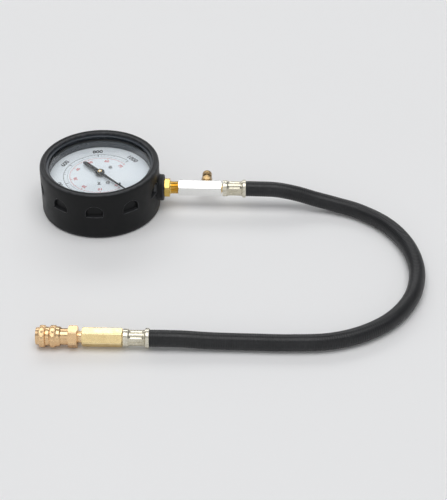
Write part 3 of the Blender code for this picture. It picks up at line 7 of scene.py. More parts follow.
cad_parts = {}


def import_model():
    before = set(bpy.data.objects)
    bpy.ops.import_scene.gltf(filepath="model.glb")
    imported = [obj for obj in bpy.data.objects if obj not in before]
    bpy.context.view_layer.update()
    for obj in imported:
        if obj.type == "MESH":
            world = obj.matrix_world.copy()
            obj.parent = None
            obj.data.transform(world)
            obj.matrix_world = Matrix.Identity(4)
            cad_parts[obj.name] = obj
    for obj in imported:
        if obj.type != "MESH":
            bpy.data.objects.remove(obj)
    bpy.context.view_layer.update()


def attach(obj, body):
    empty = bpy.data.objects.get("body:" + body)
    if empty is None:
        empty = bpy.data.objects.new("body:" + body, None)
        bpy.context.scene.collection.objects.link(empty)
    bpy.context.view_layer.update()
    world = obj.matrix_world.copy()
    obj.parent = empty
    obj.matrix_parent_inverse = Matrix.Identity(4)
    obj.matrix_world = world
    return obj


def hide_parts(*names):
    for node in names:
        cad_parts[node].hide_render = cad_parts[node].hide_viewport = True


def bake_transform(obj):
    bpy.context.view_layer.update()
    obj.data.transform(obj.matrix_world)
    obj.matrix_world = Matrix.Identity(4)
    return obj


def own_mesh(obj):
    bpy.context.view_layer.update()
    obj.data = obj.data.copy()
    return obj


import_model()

# Lengths in this file are in mm, and MM scales them as each mesh is made.
MM = 0.001
TAU = math.tau

# Lines that the pieces lie on. Local Z runs along each one.
UPRIGHT = Matrix.Identity(4)
STEM_HEIGHT = 16.8
FAR_Y, FAR_HEIGHT = -169.0, 7.7
VALVE_X = 82.8
ALONG_X = Matrix(((0, 0, 1, 0), (0, -1, 0, 0), (1, 0, 0, 0), (0, 0, 0, 1)))
ALONG_Y = Matrix(((1, 0, 0, 0), (0, 0, 1, 0), (0, -1, 0, 0), (0, 0, 0, 1)))
STEM_LINE = Matrix.Translation((0, 0, STEM_HEIGHT)) @ ALONG_X
FAR_LINE = Matrix.Translation((0, FAR_Y, FAR_HEIGHT)) @ ALONG_X
VALVE_LINE = Matrix.Translation((VALVE_X, 0, STEM_HEIGHT)) @ ALONG_Y


# Materials


class Shader:
    """A material being built: short calls that add nodes and join them."""

    def __init__(self, name):
        self.material = bpy.data.materials.new(name)
        self.material.use_nodes = True
        self.tree = self.material.node_tree
        self.tree.nodes.clear()
        self.coords = self.node("ShaderNodeTexCoord").outputs["Object"]

    def node(self, kind, settings=None, **inputs):
        made = self.tree.nodes.new(kind)
        for key, value in (settings or {}).items():
            setattr(made, key, value)
        for key, value in inputs.items():
            self.put(made.inputs[key.replace("_", " ")], value)
        return made

    def put(self, socket, value):
        """Joins the socket to the value's node, or sets it to a plain value."""
        if isinstance(value, bpy.types.NodeSocket):
            self.tree.links.new(value, socket)
        else:
            socket.default_value = value

    def noise(self, scale, detail, rough=0.55, stretch=None):
        coords = self.coords
        if stretch:
            mapping = self.node("ShaderNodeMapping", Vector=coords)
            mapping.inputs["Scale"].default_value = stretch
            coords = mapping.outputs["Vector"]
        made = self.node(
            "ShaderNodeTexNoise", Vector=coords, Scale=scale, Detail=detail, Roughness=rough
        )
        return made.outputs["Fac"]

    def spread(self, value, low, high, from_low=0.3, from_high=0.7):
        """The value's range from from_low to from_high, spread from low to high."""
        made = self.node("ShaderNodeMapRange", Value=value)
        for key, number in (
            ("From Min", from_low), ("From Max", from_high), ("To Min", low), ("To Max", high),
        ):
            made.inputs[key].default_value = number
        return made.outputs["Result"]

    def blend(self, share, one, two):
        made = self.node("ShaderNodeMix", {"data_type": "RGBA"})
        self.put(made.inputs[0], share)
        self.put(made.inputs[6], one)
        self.put(made.inputs[7], two)
        return made.outputs[2]

    def edges(self):
        """1 on sharp outer edges, 0 on flats."""
        pointiness = self.node("ShaderNodeNewGeometry").outputs["Pointiness"]
        return self.spread(pointiness, 0.0, 1.0, 0.52, 0.6)

    def upward(self, power):
        """1 where the surface faces up, falling away on slopes."""
        normal = self.node("ShaderNodeNewGeometry").outputs["Normal"]
        height = self.node("ShaderNodeSeparateXYZ", Vector=normal).outputs["Z"]
        return self.maths("POWER", self.maths("MAXIMUM", height, 0.0), power)

    def maths(self, operation, one, two):
        made = self.node("ShaderNodeMath", {"operation": operation})
        self.put(made.inputs[0], one)
        self.put(made.inputs[1], two)
        return made.outputs[0]

    def bump(self, height, distance, strength, under=None):
        made = self.node("ShaderNodeBump", Height=height, Distance=distance, Strength=strength)
        if under:
            self.put(made.inputs["Normal"], under)
        return made.outputs["Normal"]

    def finish(self, colour, roughness, normal, **plain):
        shader = self.node("ShaderNodeBsdfPrincipled")
        self.put(shader.inputs["Base Color"], colour)
        self.put(shader.inputs["Roughness"], roughness)
        self.put(shader.inputs["Normal"], normal)
        for key, value in plain.items():
            shader.inputs[key.replace("_", " ")].default_value = value
        output = self.node("ShaderNodeOutputMaterial")
        self.tree.links.new(shader.outputs[0], output.inputs["Surface"])
        return self.material


def rgb(red, green, blue):
    return (red, green, blue, 1.0)


# Pale grey laid on upward faces: partly dust, partly a painted lighter top standing in for light
# from above.
DUST_AND_TOP_LIGHT = rgb(0.16, 0.165, 0.175)


def moulded(name, dark, light, wear_and_highlight, roughness, grain, grain_depth, gloss=0.5, dust_and_top_light=0.0):
    """Rubber or plastic: drifts of colour, a fine grain, dust with painted top light on upward
    faces, and rub marks with painted highlights on the edges.
    """
    s = Shader(name)
    drift = s.spread(s.noise(38.0, 4.0), 0.0, 1.0)
    colour = s.blend(drift, dark, light)
    # Pale colour on sharp edges: partly rub wear, partly a painted highlight along the edges.
    rubbed_and_highlit = s.maths("MULTIPLY", s.edges(), s.spread(s.noise(260.0, 4.0), 0.25, 0.9))
    colour = s.blend(rubbed_and_highlit, colour, wear_and_highlight)
    # Pale patches on upward faces: partly dust, partly painted light on the tops.
    if dust_and_top_light:
        dust_and_light_patches = s.spread(s.noise(420.0, 4.0), dust_and_top_light * 0.6, dust_and_top_light)
        colour = s.blend(s.maths("MULTIPLY", s.upward(3.0), dust_and_light_patches), colour, DUST_AND_TOP_LIGHT)
    rough = s.spread(s.noise(90.0, 5.0), roughness - 0.07, roughness + 0.09)
    fine = s.bump(s.noise(grain, 2.0), grain_depth, 0.6)
    normal = s.bump(s.noise(grain / 5, 3.0), grain_depth * 3, 0.35, fine)
    return s.finish(colour, rough, normal, Specular_IOR_Level=gloss)


def metal(
    name, colour, deep, bright, roughness, lines=(1.0, 1.0, 1.0), line_depth=4e-6, tarnish=0.35,
):
    """Plated or turned metal: clouds of tarnish, bright rubbed edges and fine tool marks."""
    s = Shader(name)
    clouds = s.spread(s.noise(120.0, 6.0, 0.62), 0.0, tarnish)
    shade = s.blend(clouds, colour, deep)
    shade = s.blend(s.maths("MULTIPLY", s.edges(), 0.55), shade, bright)
    rough = s.spread(s.noise(240.0, 5.0), roughness - 0.05, roughness + 0.08)
    marks = s.noise(900.0, 3.0, 0.6, lines)
    normal = s.bump(marks, line_depth, 0.7)
    return s.finish(shade, rough, normal, Metallic=1.0)


# The boot's pale edge colour is partly wear and partly a painted highlight on the rim's edges; its
# pale upward faces are partly dust and partly painted top light.
RUBBER = moulded(
    "boot_rubber", rgb(0.003, 0.0035, 0.004), rgb(0.006, 0.0065, 0.0073), rgb(0.26, 0.265, 0.28),
    roughness=0.42, grain=2400.0, grain_depth=3e-5, gloss=0.22, dust_and_top_light=0.14,
)
CASE = moulded(
    "case_slate", rgb(0.03, 0.036, 0.045), rgb(0.045, 0.053, 0.064), rgb(0.12, 0.13, 0.14),
    roughness=0.36, grain=3200.0, grain_depth=8e-6,
)
POINTER = moulded(
    "pointer_black", rgb(0.003, 0.003, 0.0035), rgb(0.006, 0.006, 0.0065), rgb(0.03, 0.03, 0.03),
    roughness=0.6, grain=3600.0, grain_depth=2e-6, gloss=0.03,
)
SEAL = moulded(
    "seal_rubber", rgb(0.012, 0.012, 0.012), rgb(0.022, 0.022, 0.022), rgb(0.06, 0.06, 0.06),
    roughness=0.6, grain=2600.0, grain_depth=1e-5,
)
# Scales of the tool marks along X, Y and Z: rings round the axis of what was turned, and lines
# along what was drawn.
TURNED_X = (0.6, 0.06, 0.06)
TURNED_X_FINE = (1.6, 0.04, 0.04)
TURNED_Y = (0.06, 0.9, 0.06)
DRAWN_X = (0.08, 1.0, 1.0)
DRAWN_X_FINE = (0.08, 1.2, 1.2)
BRASS = metal(
    "brass", rgb(0.88, 0.62, 0.27), rgb(0.62, 0.38, 0.13), rgb(1.0, 0.84, 0.52),
    roughness=0.24, lines=TURNED_X,
)
STEM_BRASS = metal(
    "stem_brass", rgb(0.84, 0.58, 0.17), rgb(0.36, 0.27, 0.08), rgb(1.0, 0.82, 0.4),
    roughness=0.2, lines=TURNED_X, tarnish=0.5,
)
PALE_BRASS = metal(
    "bar_brass", rgb(0.95, 0.76, 0.4), rgb(0.78, 0.55, 0.24), rgb(1.0, 0.92, 0.68),
    roughness=0.22, lines=DRAWN_X_FINE,
)
ROSY_BRASS = metal(
    "coupler_brass", rgb(0.86, 0.6, 0.34), rgb(0.56, 0.33, 0.16), rgb(1.0, 0.86, 0.62),
    roughness=0.24, lines=TURNED_X_FINE, line_depth=8e-6,
)
DARK_BRASS = metal(
    "valve_brass", rgb(0.52, 0.36, 0.17), rgb(0.22, 0.14, 0.06), rgb(0.95, 0.8, 0.52),
    roughness=0.26, lines=TURNED_Y, tarnish=0.7,
)
NICKEL = metal(
    "nickel", rgb(0.9, 0.9, 0.885), rgb(0.72, 0.71, 0.68), rgb(1.0, 1.0, 0.99),
    roughness=0.16, lines=DRAWN_X, line_depth=2e-6, tarnish=0.3,
)
FERRULE = metal(
    "ferrule_nickel", rgb(0.74, 0.7, 0.58), rgb(0.42, 0.38, 0.27), rgb(0.98, 0.96, 0.88),
    roughness=0.27, lines=TURNED_X, line_depth=5e-6, tarnish=0.5,
)
STEEL = metal(
    "steel", rgb(0.62, 0.63, 0.64), rgb(0.4, 0.4, 0.4), rgb(0.9, 0.9, 0.9), roughness=0.26,
)
SCREW_NICKEL = metal(
    "screw_nickel", rgb(0.4, 0.4, 0.4), rgb(0.22, 0.22, 0.22), rgb(0.75, 0.75, 0.74),
    roughness=0.42,
)
BRONZE = metal(
    "phosphor_bronze", rgb(0.66, 0.39, 0.2), rgb(0.42, 0.22, 0.1), rgb(0.9, 0.62, 0.4),
    roughness=0.3,
)


def hose_material():
    """Rubber with the faint print of the cloth it was cured in, and a soft sheen."""
    s = Shader("hose_rubber")
    drift = s.spread(s.noise(60.0, 4.0), 0.0, 1.0)
    colour = s.blend(drift, rgb(0.006, 0.0065, 0.0075), rgb(0.013, 0.0135, 0.015))
    scuffs = s.spread(s.noise(520.0, 5.0, 0.7), 0.0, 0.5, 0.56, 0.74)
    colour = s.blend(scuffs, colour, rgb(0.045, 0.046, 0.05))
    rough = s.spread(s.noise(300.0, 4.0), 0.3, 0.45)
    weave = s.bump(s.noise(3000.0, 2.0), 2e-5, 0.5)
    normal = s.bump(s.noise(700.0, 3.0), 4e-5, 0.4, weave)
    return s.finish(colour, rough, normal, Specular_IOR_Level=0.4)


def dial_material():
    """White enamel with a faint cool drift and a soft orange-peel surface."""
    s = Shader("dial_white")
    drift = s.spread(s.noise(45.0, 4.0), 0.0, 1.0)
    colour = s.blend(drift, rgb(0.8, 0.84, 0.87), rgb(0.86, 0.88, 0.9))
    specks = s.spread(s.noise(1800.0, 2.0), 0.0, 0.35, 0.68, 0.8)
    colour = s.blend(specks, colour, rgb(0.7, 0.72, 0.74))
    rough = s.spread(s.noise(300.0, 3.0), 0.38, 0.5)
    normal = s.bump(s.noise(1500.0, 2.0), 4e-6, 0.5)
    return s.finish(colour, rough, normal)


def ink(name, full, thin):
    """Printed ink, a little thinner in places."""
    s = Shader(name)
    wear = s.spread(s.noise(1500.0, 4.0, 0.7), 0.0, 1.0, 0.45, 0.75)
    colour = s.blend(wear, full, thin)
    rough = s.spread(s.noise(800.0, 3.0), 0.45, 0.6)
    return s.finish(colour, rough, s.bump(s.noise(2500.0, 2.0), 3e-6, 0.5))


def lens_material():
    """Clear acrylic: nearly all see-through, with a gloss that grows at low angles, and smears."""
    s = Shader("lens_clear")
    smears = s.noise(34.0, 5.0, 0.65)
    see_through = s.node("ShaderNodeBsdfTransparent", Color=rgb(0.985, 0.995, 1.0))
    gloss = s.node(
        "ShaderNodeBsdfPrincipled", Roughness=s.spread(smears, 0.02, 0.09),
        Normal=s.bump(s.noise(20.0, 2.0), 1e-5, 0.2),
    )
    gloss.inputs["Base Color"].default_value = rgb(0.9, 0.93, 0.95)
    gloss.inputs["Metallic"].default_value = 1.0
    facing = s.node("ShaderNodeLayerWeight", Blend=0.5).outputs["Facing"]
    at_low_angles = s.maths("MULTIPLY", s.maths("POWER", facing, 4.0), 0.35)
    share = s.maths("ADD", at_low_angles, s.spread(smears, 0.006, 0.014))
    mix = s.node("ShaderNodeMixShader")
    s.put(mix.inputs[0], share)
    s.tree.links.new(see_through.outputs[0], mix.inputs[1])
    s.tree.links.new(gloss.outputs[0], mix.inputs[2])
    output = s.node("ShaderNodeOutputMaterial")
    s.tree.links.new(mix.outputs[0], output.inputs["Surface"])
    return s.material


HOSE = hose_material()
DIAL = dial_material()
LENS = lens_material()
BLACK_INK = ink("ink_black", rgb(0.012, 0.012, 0.014), rgb(0.06, 0.06, 0.065))
RED_INK = ink("ink_red", rgb(0.55, 0.05, 0.045), rgb(0.7, 0.2, 0.18))


# Shapes


def placed(name, data):
    """A new object in the scene."""
    made = bpy.data.objects.new(name, data)
    bpy.context.scene.collection.objects.link(made)
    return made


def mesh_from(name, bm):
    """The bmesh as a mesh, its faces turned outwards."""
    bmesh.ops.recalc_face_normals(bm, faces=bm.faces)
    mesh = bpy.data.meshes.new(name)
    bm.to_mesh(mesh)
    bm.free()
    return mesh


def finished_mesh(piece):
    """The object's mesh as its modifiers or its curves make it."""
    bpy.context.view_layer.update()
    seen = piece.evaluated_get(bpy.context.evaluated_depsgraph_get())
    return bpy.data.meshes.new_from_object(seen)


def made_object(name, bm, finish, body, nodes, smooth_deg=34.0):
    """Sends the bmesh to an object with its material, riding on its body."""
    mesh = mesh_from(name, bm)
    for polygon in mesh.polygons:
        polygon.use_smooth = True
    mesh.set_sharp_from_angle(angle=math.radians(smooth_deg))
    mesh.materials.append(finish)
    piece = placed(name, mesh)
    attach(piece, body)
    if nodes:
        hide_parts(*nodes)
    return piece


# A length below this counts as nothing.
TINY = 1e-6
# Corners that bend more than this are softened, by a curve that takes at most this share of the
# edges beside it.
SOFTEN_FROM_DEG = 20
SOFTEN_SHARE = 0.42
CURVE_STEPS = (0.0, 0.33, 0.67, 1.0)


def softened(stations, radius, loop):
    """The profile with each corner turned into a small curve."""
    points = [Vector(p) for p in stations]
    count = len(points)
    out = []
    for i, p in enumerate(points):
        if not loop and i in (0, count - 1):
            out.append(p)
            continue
        before, after = points[i - 1] - p, points[(i + 1) % count] - p
        if radius <= 0 or before.length < TINY or after.length < TINY:
            out.append(p)
            continue
        if math.pi - before.angle(after) < math.radians(SOFTEN_FROM_DEG):
            out.append(p)
            continue
        reach = min(radius, SOFTEN_SHARE * before.length, SOFTEN_SHARE * after.length)
        start, end = p + before.normalized() * reach, p + after.normalized() * reach
        for t in CURVE_STEPS:
            out.append(start * (1 - t) ** 2 + p * 2 * t * (1 - t) + end * t * t)
    return out


def join_rings(bm, rings, loop=False):
    """Fills in faces between rings of the same count, or between a ring and a single point."""
    for one, two in zip(rings, rings[1:] + rings[:1] if loop else rings[1:]):
        if len(one) == 1 or len(two) == 1:
            tip, ring = (one[0], two) if len(one) == 1 else (two[0], one)
            for k in range(len(ring)):
                bm.faces.new((tip, ring[k], ring[(k + 1) % len(ring)]))
            continue
        for k in range(len(one)):
            n = (k + 1) % len(one)
            bm.faces.new((one[k], one[n], two[n], two[k]))


def turn(bm, place, stations, segments=96, shape=None, loop=False, soft=0.15):
    """Revolves (radius, height) stations in mm round the local Z of place. shape(angle, radius,
    height) changes a point's radius, for flats, flutes, threads and knurls."""
    rings = []
    for radius, height in softened(stations, soft, loop):
        if radius < TINY:
            rings.append([bm.verts.new((place @ Vector((0, 0, height))) * MM)])
            continue
        ring = []
        for k in range(segments):
            angle = TAU * k / segments
            r = shape(angle, radius, height) if shape else radius
            point = Vector((r * math.cos(angle), r * math.sin(angle), height))
            ring.append(bm.verts.new((place @ point) * MM))
        rings.append(ring)
    join_rings(bm, rings, loop)
    return rings


def turned(name, place, stations, finish, body, nodes, slot, **options):
    """A piece of its own that turn makes, with turn's options."""
    bm = bmesh.new()
    turn(bm, place, stations, **options)
    return made_object(name, bm, finish, body, nodes)


def cut(piece, cutter_bm):
    """Takes the cutter's shape out of the piece."""
    cutter = placed("cutter", mesh_from("cutter", cutter_bm))
    modifier = piece.modifiers.new("cut", "BOOLEAN")
    modifier.operation, modifier.object, modifier.solver = "DIFFERENCE", cutter, "EXACT"
    result = finished_mesh(piece)
    piece.modifiers.clear()
    piece.data = result
    bpy.data.objects.remove(cutter)


# How far out a hexagon's rounded corners reach, as a share of its sharp ones.
CORNER_SHARE = 0.985


def hexagon(across, first_corner_deg):
    """A function for the radius of a hexagon at an angle, its corners very slightly rounded."""
    half = across / 2
    corner = half / math.cos(math.radians(30)) * CORNER_SHARE

    def radius_at(angle):
        turned_by = (math.degrees(angle) - first_corner_deg) % 60
        return min(half / math.cos(math.radians(turned_by - 30)), corner)

    return radius_at


def hex_in(start, end, across, first_corner_deg=0.0):
    """A shape function that holds what lies between two heights inside a hexagon."""
    outline = hexagon(across, first_corner_deg)

    def shape(angle, radius, height):
        on_hexagon = start - TINY <= height <= end + TINY
        return min(radius, outline(angle)) if on_hexagon else radius

    return shape


def hex_run(start, end, across, chamfer):
    """Stations of a hexagonal length whose ends were chamfered in the lathe."""
    corner = across / 2 / math.cos(math.radians(30))
    steps, slope = 5, 0.6
    low = [
        (corner - chamfer * (1 - k / steps), start + slope * chamfer * k / steps)
        for k in range(steps + 1)
    ]
    high = [(r, end - (z - start)) for r, z in reversed(low)]
    return low + high


def smooth_curve(points, steps):
    """A Catmull-Rom curve through the points, its end points mirrored to start and finish it."""
    route = [Vector(p) for p in points]
    route = [2 * route[0] - route[1], *route, 2 * route[-1] - route[-2]]
    out = []
    for a, b, c, d in zip(route, route[1:], route[2:], route[3:]):
        for k in range(steps):
            t = k / steps
            out.append(
                0.5 * (2 * b + (c - a) * t + (2 * a - 5 * b + 4 * c - d) * t**2
                       + (3 * b - a - 3 * c + d) * t**3)
            )
    out.append(route[-2])
    return out


def spaced(line, step):
    """The line again, with points at equal distances."""
    out, left = [line[0].copy()], step
    for a, b in zip(line, line[1:]):
        length, done = (b - a).length, 0.0
        while length - done >= left:
            done += left
            out.append(a.lerp(b, done / length))
            left = step
        left -= length - done
    out.append(line[-1].copy())
    return out


def tube(bm, line, radius_at, segments):
    """Adds a capped tube of rings along the line, carried without twist, and gives the line's
    length. radius_at(distance, angle) is in mm."""
    rings, distance = [], 0.0
    side = Vector((0, 0, 1))
    for i, p in enumerate(line):
        ahead = (line[min(i + 1, len(line) - 1)] - line[max(i - 1, 0)]).normalized()
        side = (side - ahead * side.dot(ahead)).normalized()
        other = ahead.cross(side)
        if i:
            distance += (p - line[i - 1]).length
        ring = []
        for k in range(segments):
            angle = TAU * k / segments
            r = radius_at(distance, angle)
            out = side * math.cos(angle) + other * math.sin(angle)
            ring.append(bm.verts.new((p + out * r) * MM))
        rings.append(ring)
    join_rings(bm, rings)
    bm.faces.new(list(reversed(rings[0])))
    bm.faces.new(rings[-1])
    return distance


def wire(name, line, radius, nodes, segments=10):
    """A piece of round steel wire along the line."""
    bm = bmesh.new()
    tube(bm, line, lambda distance, angle: radius, segments)
    return made_object(name, bm, STEEL, "head", nodes)


def helix(place, mean, start, end, turns):
    """The centreline of a coil spring between two heights of place."""
    steps_per_turn = 28
    count = int(turns * steps_per_turn)
    out = []
    for k in range(count + 1):
        share = k / count
        angle = TAU * turns * share
        height = start + (end - start) * share
        out.append(place @ Vector((mean * math.cos(angle), mean * math.sin(angle), height)))
    return out


# Camera


def aim(holder, place, target):
    """Puts a camera or a lamp at a place, facing the target."""
    holder.location = place
    holder.rotation_euler = (Vector(target) - Vector(place)).to_track_quat("-Z", "Y").to_euler()


CAMERA_PLACE = (0.1234, -0.8997, 0.6486)
CAMERA_TARGET = (0.0985, -0.073, 0.012)
CAMERA_LENS = 101.0

camera = placed("camera", bpy.data.cameras.new("camera"))
aim(camera, CAMERA_PLACE, CAMERA_TARGET)
camera.data.lens = CAMERA_LENS
bpy.context.scene.camera = camera


# Hose

HOSE_R = 6.0
WRAP_PITCH = 1.7
WRAP_DEPTH = 0.2
HOSE_SEGMENTS, RINGS_PER_RIDGE = 32, 6
# The points that the CAD hose is laid through.
HOSE_ROUTE = [
    (111.6, 0, 16.8), (124, 0, 16.8), (138, -0.1, 16.3), (153, -0.7, 13.6), (168, -1.9, 9.6),
    (184, -5.4, 7.1), (203, -13.4, 6.2), (223, -30.5, 6.1), (236.5, -55, 6.1), (241.5, -84.5, 6.1),
    (236.5, -114, 6.1), (222, -139, 6.1), (201, -156.5, 6.1), (176, -166.5, 6.1), (148, -169, 6.1),
    (118, -169, 6.1), (92, -169, 6.5), (72, -169, 7.6), (47.8, -169, 7.7),
]


def wrapped(distance, angle):
    """The hose's radius: shallow ridges where the curing cloth was wound on, deeper in places."""
    phase = (distance / WRAP_PITCH + angle / TAU) % 1.0
    change = math.sin(distance / 23.0) * math.cos(distance / 9.0 + angle)
    depth = WRAP_DEPTH * (0.75 + 0.25 * change)
    return HOSE_R - depth * (0.5 + 0.5 * math.cos(TAU * phase)) ** 2


hose_line = spaced(smooth_curve(HOSE_ROUTE, steps=12), WRAP_PITCH / RINGS_PER_RIDGE)
hose_mesh = bmesh.new()
hose_length = tube(hose_mesh, hose_line, wrapped, HOSE_SEGMENTS)
hose = made_object("hose_wrapped", hose_mesh, HOSE, "head", ["hose"])


# Boot

BOOT_R = 46.3
RECESSES = 10
RECESS_FLOOR_R = 43.8
RECESS_HALF = 6.5
RECESS_LOW, RECESS_SHOULDER = 20.2, 22.9
RECESS_EDGE = 0.9
# The wall's grid is fine only where the recesses are. Cycles' Pointiness takes close points with
# the same x + y + z for one, which leaves bright strips on some grids, though not on this one.
WALL_LOW, WALL_ROW_STEP = 19.3, 0.25
WALL_COLUMNS, WALL_ROWS = 1200, 45
COARSE_COLUMNS = 300


def ease(value):
    """0 below 0, 1 above 1, and a smooth step between them."""
    value = min(max(value, 0.0), 1.0)
    return value * value * (3 - 2 * value)


def recess_depth(angle, height):
    """How deep the arched grip recess is here, with softly moulded edges."""
    step = TAU / RECESSES
    across = (angle % step - step / 2) * BOOT_R
    if height > RECESS_SHOULDER:
        inside = RECESS_HALF - math.hypot(across, height - RECESS_SHOULDER)
    else:
        inside = min(RECESS_HALF - abs(across), height - RECESS_LOW)
    return (BOOT_R - RECESS_FLOOR_R) * ease(inside / RECESS_EDGE + 0.5)


def wall_ring(bm, height):
    """One fine ring of the boot's wall, with the recesses in it."""
    ring = []
    for k in range(WALL_COLUMNS):
        angle = TAU * k / WALL_COLUMNS
        r = BOOT_R - recess_depth(angle, height)
        ring.append(bm.verts.new(Vector((r * math.cos(angle), r * math.sin(angle), height)) * MM))
    return ring


def fan_rings(bm, coarse, fine):
    """Joins a coarse ring to a fine one, each coarse edge to several fine ones."""
    ratio = len(fine) // len(coarse)
    for k, point in enumerate(coarse):
        run = [fine[(k * ratio + j) % len(fine)] for j in range(ratio, -1, -1)]
        bm.faces.new([point, coarse[(k + 1) % len(coarse)], *run])


boot_mesh = bmesh.new()
wall = [wall_ring(boot_mesh, WALL_LOW + WALL_ROW_STEP * k) for k in range(WALL_ROWS)]
join_rings(boot_mesh, wall)
inside_and_rim = [
    (0, 3.0), (42.7, 3.0), (42.7, 38.1), (41.4, 38.1), (41.4, 39.2), (41.55, 39.7), (41.9, 39.9),
    (42.3, 39.85), (42.7, 39.6), (43.9, 39.55), (44.3, 39.8), (44.75, 39.98), (45.25, 39.95),
    (45.7, 39.65), (46.0, 39.1), (46.15, 38.3), (46.25, 37.2), (BOOT_R, 36.0), (BOOT_R, 32.0),
]
skirt_and_back = [
    (BOOT_R, 18.0), (BOOT_R, 10.0), (BOOT_R, 2.0), (46.0, 0.95), (45.2, 0.25), (44.2, 0), (0, 0),
]
above_wall = turn(boot_mesh, UPRIGHT, inside_and_rim, COARSE_COLUMNS, soft=0.0)[-1]
below_wall = turn(boot_mesh, UPRIGHT, skirt_and_back, COARSE_COLUMNS, soft=0.0)[0]
fan_rings(boot_mesh, above_wall, wall[-1])
fan_rings(boot_mesh, below_wall, wall[0])
# The boss that the stem comes out of. It reaches in to the floor of the recesses beside it.
turn(
    boot_mesh, STEM_LINE,
    [(11.7, 42.0), (11.7, 44.2), (11.3, 45.1), (10.8, 45.9), (10.45, 46.8), (10.25, 48.0),
     (10.2, 49.3), (9.9, 49.85), (9.4, 50.0), (7.2, 50.0), (6.8, 49.7), (6.8, 42.0)],
    loop=True, soft=0.0,
)
made_object("boot_rubber", boot_mesh, RUBBER, "head", ["boot"], smooth_deg=50.0)


# Bezel, case, lens and dial

ROUND_SEGMENTS = 160
# The hole in the case's back that the relief plug fills.
RELIEF_X, RELIEF_R = -22.0, 4.2

turned(
    "bezel", UPRIGHT,
    [(41.3, 30.8), (42.4, 30.8), (42.4, 37.2), (41.9, 37.8), (39.8, 37.8), (39.4, 37.5),
     (39.4, 37.0), (41.3, 37.0)],
    CASE, "head", ["bezel_ring"], "case_black", segments=ROUND_SEGMENTS, loop=True, soft=0.25,
)
turned(
    "lens_sheet", UPRIGHT, [(0, 34.7), (41.0, 34.7), (41.0, 36.7), (0, 36.7)],
    LENS, "head", ["lens"], "lens_clear", segments=ROUND_SEGMENTS,
)
case = turned(
    "case_shell", UPRIGHT,
    [(0, 3.3), (40.2, 3.3), (41.0, 4.1), (41.0, 33.5), (40.6, 33.5), (39.8, 33.2), (39.8, 4.5),
     (0, 4.5)],
    CASE, "head", ["gauge_case"], "case_black", segments=ROUND_SEGMENTS, soft=0.2,
)
case_cuts = bmesh.new()
turn(case_cuts, STEM_LINE, [(0, 34.0), (6.8, 34.0), (6.8, 46.0), (0, 46.0)], 48, soft=0.0)
turn(
    case_cuts, Matrix.Translation((RELIEF_X, 0, 0)),
    [(0, 0.0), (RELIEF_R, 0.0), (RELIEF_R, 6.0), (0, 6.0)], 48, soft=0.0,
)
cut(case, case_cuts)

# The black scale fills the sweep with 50 steps. The red one goes a little past its end.
ZERO_DEG, SWEEP_DEG = -45.0, 270.0
BLACK_FULL, BLACK_STEPS = 1000, 50
RED_FULL, RED_LAST = 68.95, 70
DIAL_TOP = 27.4
INK_THICK = 0.03
NUMERAL_BOLD = 0.032
# Where each kind of mark begins, and its width.
BLACK_LONG, BLACK_MIDDLE, BLACK_SHORT = (26.0, 0.6), (26.8, 0.4), (27.5, 0.22)
RED_LONG, RED_SHORT = (22.0, 0.45), (22.8, 0.2)
BLACK_MARK_END, RED_MARK_END = 28.7, 23.7

turned(
    "dial_plate", UPRIGHT, [(1.6, 26.6), (39.3, 26.6), (39.3, DIAL_TOP), (1.6, DIAL_TOP)],
    DIAL, "head", ["dial"], "dial_white", segments=ROUND_SEGMENTS, loop=True, soft=0.1,
)


def scale_angle(share):
    """The angle of a reading, given as its share of the full scale."""
    return math.radians(ZERO_DEG - SWEEP_DEG * share)


def flat_shape(bm, outline, low, high):
    """A thin prism of the outline."""
    bottom = [bm.verts.new(Vector((x, y, low)) * MM) for x, y in outline]
    top = [bm.verts.new(Vector((x, y, high)) * MM) for x, y in outline]
    join_rings(bm, [bottom, top])
    bm.faces.new(list(reversed(bottom)))
    bm.faces.new(top)


def ray_mark(bm, angle, inner, outer, width):
    """A straight mark that points away from the dial's centre."""
    along = Vector((math.cos(angle), math.sin(angle)))
    across = Vector((-along.y, along.x)) * width / 2
    corners = [
        along * inner - across, along * outer - across,
        along * outer + across, along * inner + across,
    ]
    flat_shape(bm, corners, DIAL_TOP, DIAL_TOP + INK_THICK)


def arc_mark(bm, start, end, radius, width):
    """A line round the dial between two angles."""
    steps = 120
    rings = []
    for r, z in (
        (radius - width / 2, DIAL_TOP), (radius - width / 2, DIAL_TOP + INK_THICK),
        (radius + width / 2, DIAL_TOP + INK_THICK), (radius + width / 2, DIAL_TOP),
    ):
        rings.append([
            bm.verts.new(Vector((r * math.cos(a), r * math.sin(a), z)) * MM)
            for a in (start + (end - start) * k / steps for k in range(steps + 1))
        ])
    for one, two in zip(rings, rings[1:] + rings[:1]):
        for k in range(steps):
            bm.faces.new((one[k], one[k + 1], two[k + 1], two[k]))
    for k in (0, steps):
        bm.faces.new([ring[k] for ring in rings])


def numeral(bm, text, angle, radius, size, top=None):
    """A number or word on the dial, its top outwards, or towards the angle top."""
    curve = bpy.data.curves.new("numeral", "FONT")
    curve.body = text
    curve.align_x, curve.align_y = "CENTER", "CENTER"
    curve.size = size
    curve.extrude = INK_THICK / 2
    curve.offset = NUMERAL_BOLD * size
    curve.resolution_u = 4
    holder = placed("numeral", curve)
    mesh = finished_mesh(holder)
    middle = (radius * math.cos(angle), radius * math.sin(angle), DIAL_TOP + INK_THICK / 2)
    turn_by = (angle if top is None else top) - math.pi / 2
    mesh.transform(
        Matrix.Scale(MM, 4) @ Matrix.Translation(middle) @ Matrix.Rotation(turn_by, 4, "Z")
    )
    bm.from_mesh(mesh)
    bpy.data.objects.remove(holder)
    bpy.data.curves.remove(curve)
    bpy.data.meshes.remove(mesh)


DIAL_SCREW_X, DIAL_SCREW_Y = 7.03, 10.455
SLOT_HALF_LENGTH, SLOT_HALF_WIDTH = 2.0, 0.2
SLOT_FLOOR, SLOT_TOP = 28.02, 28.6


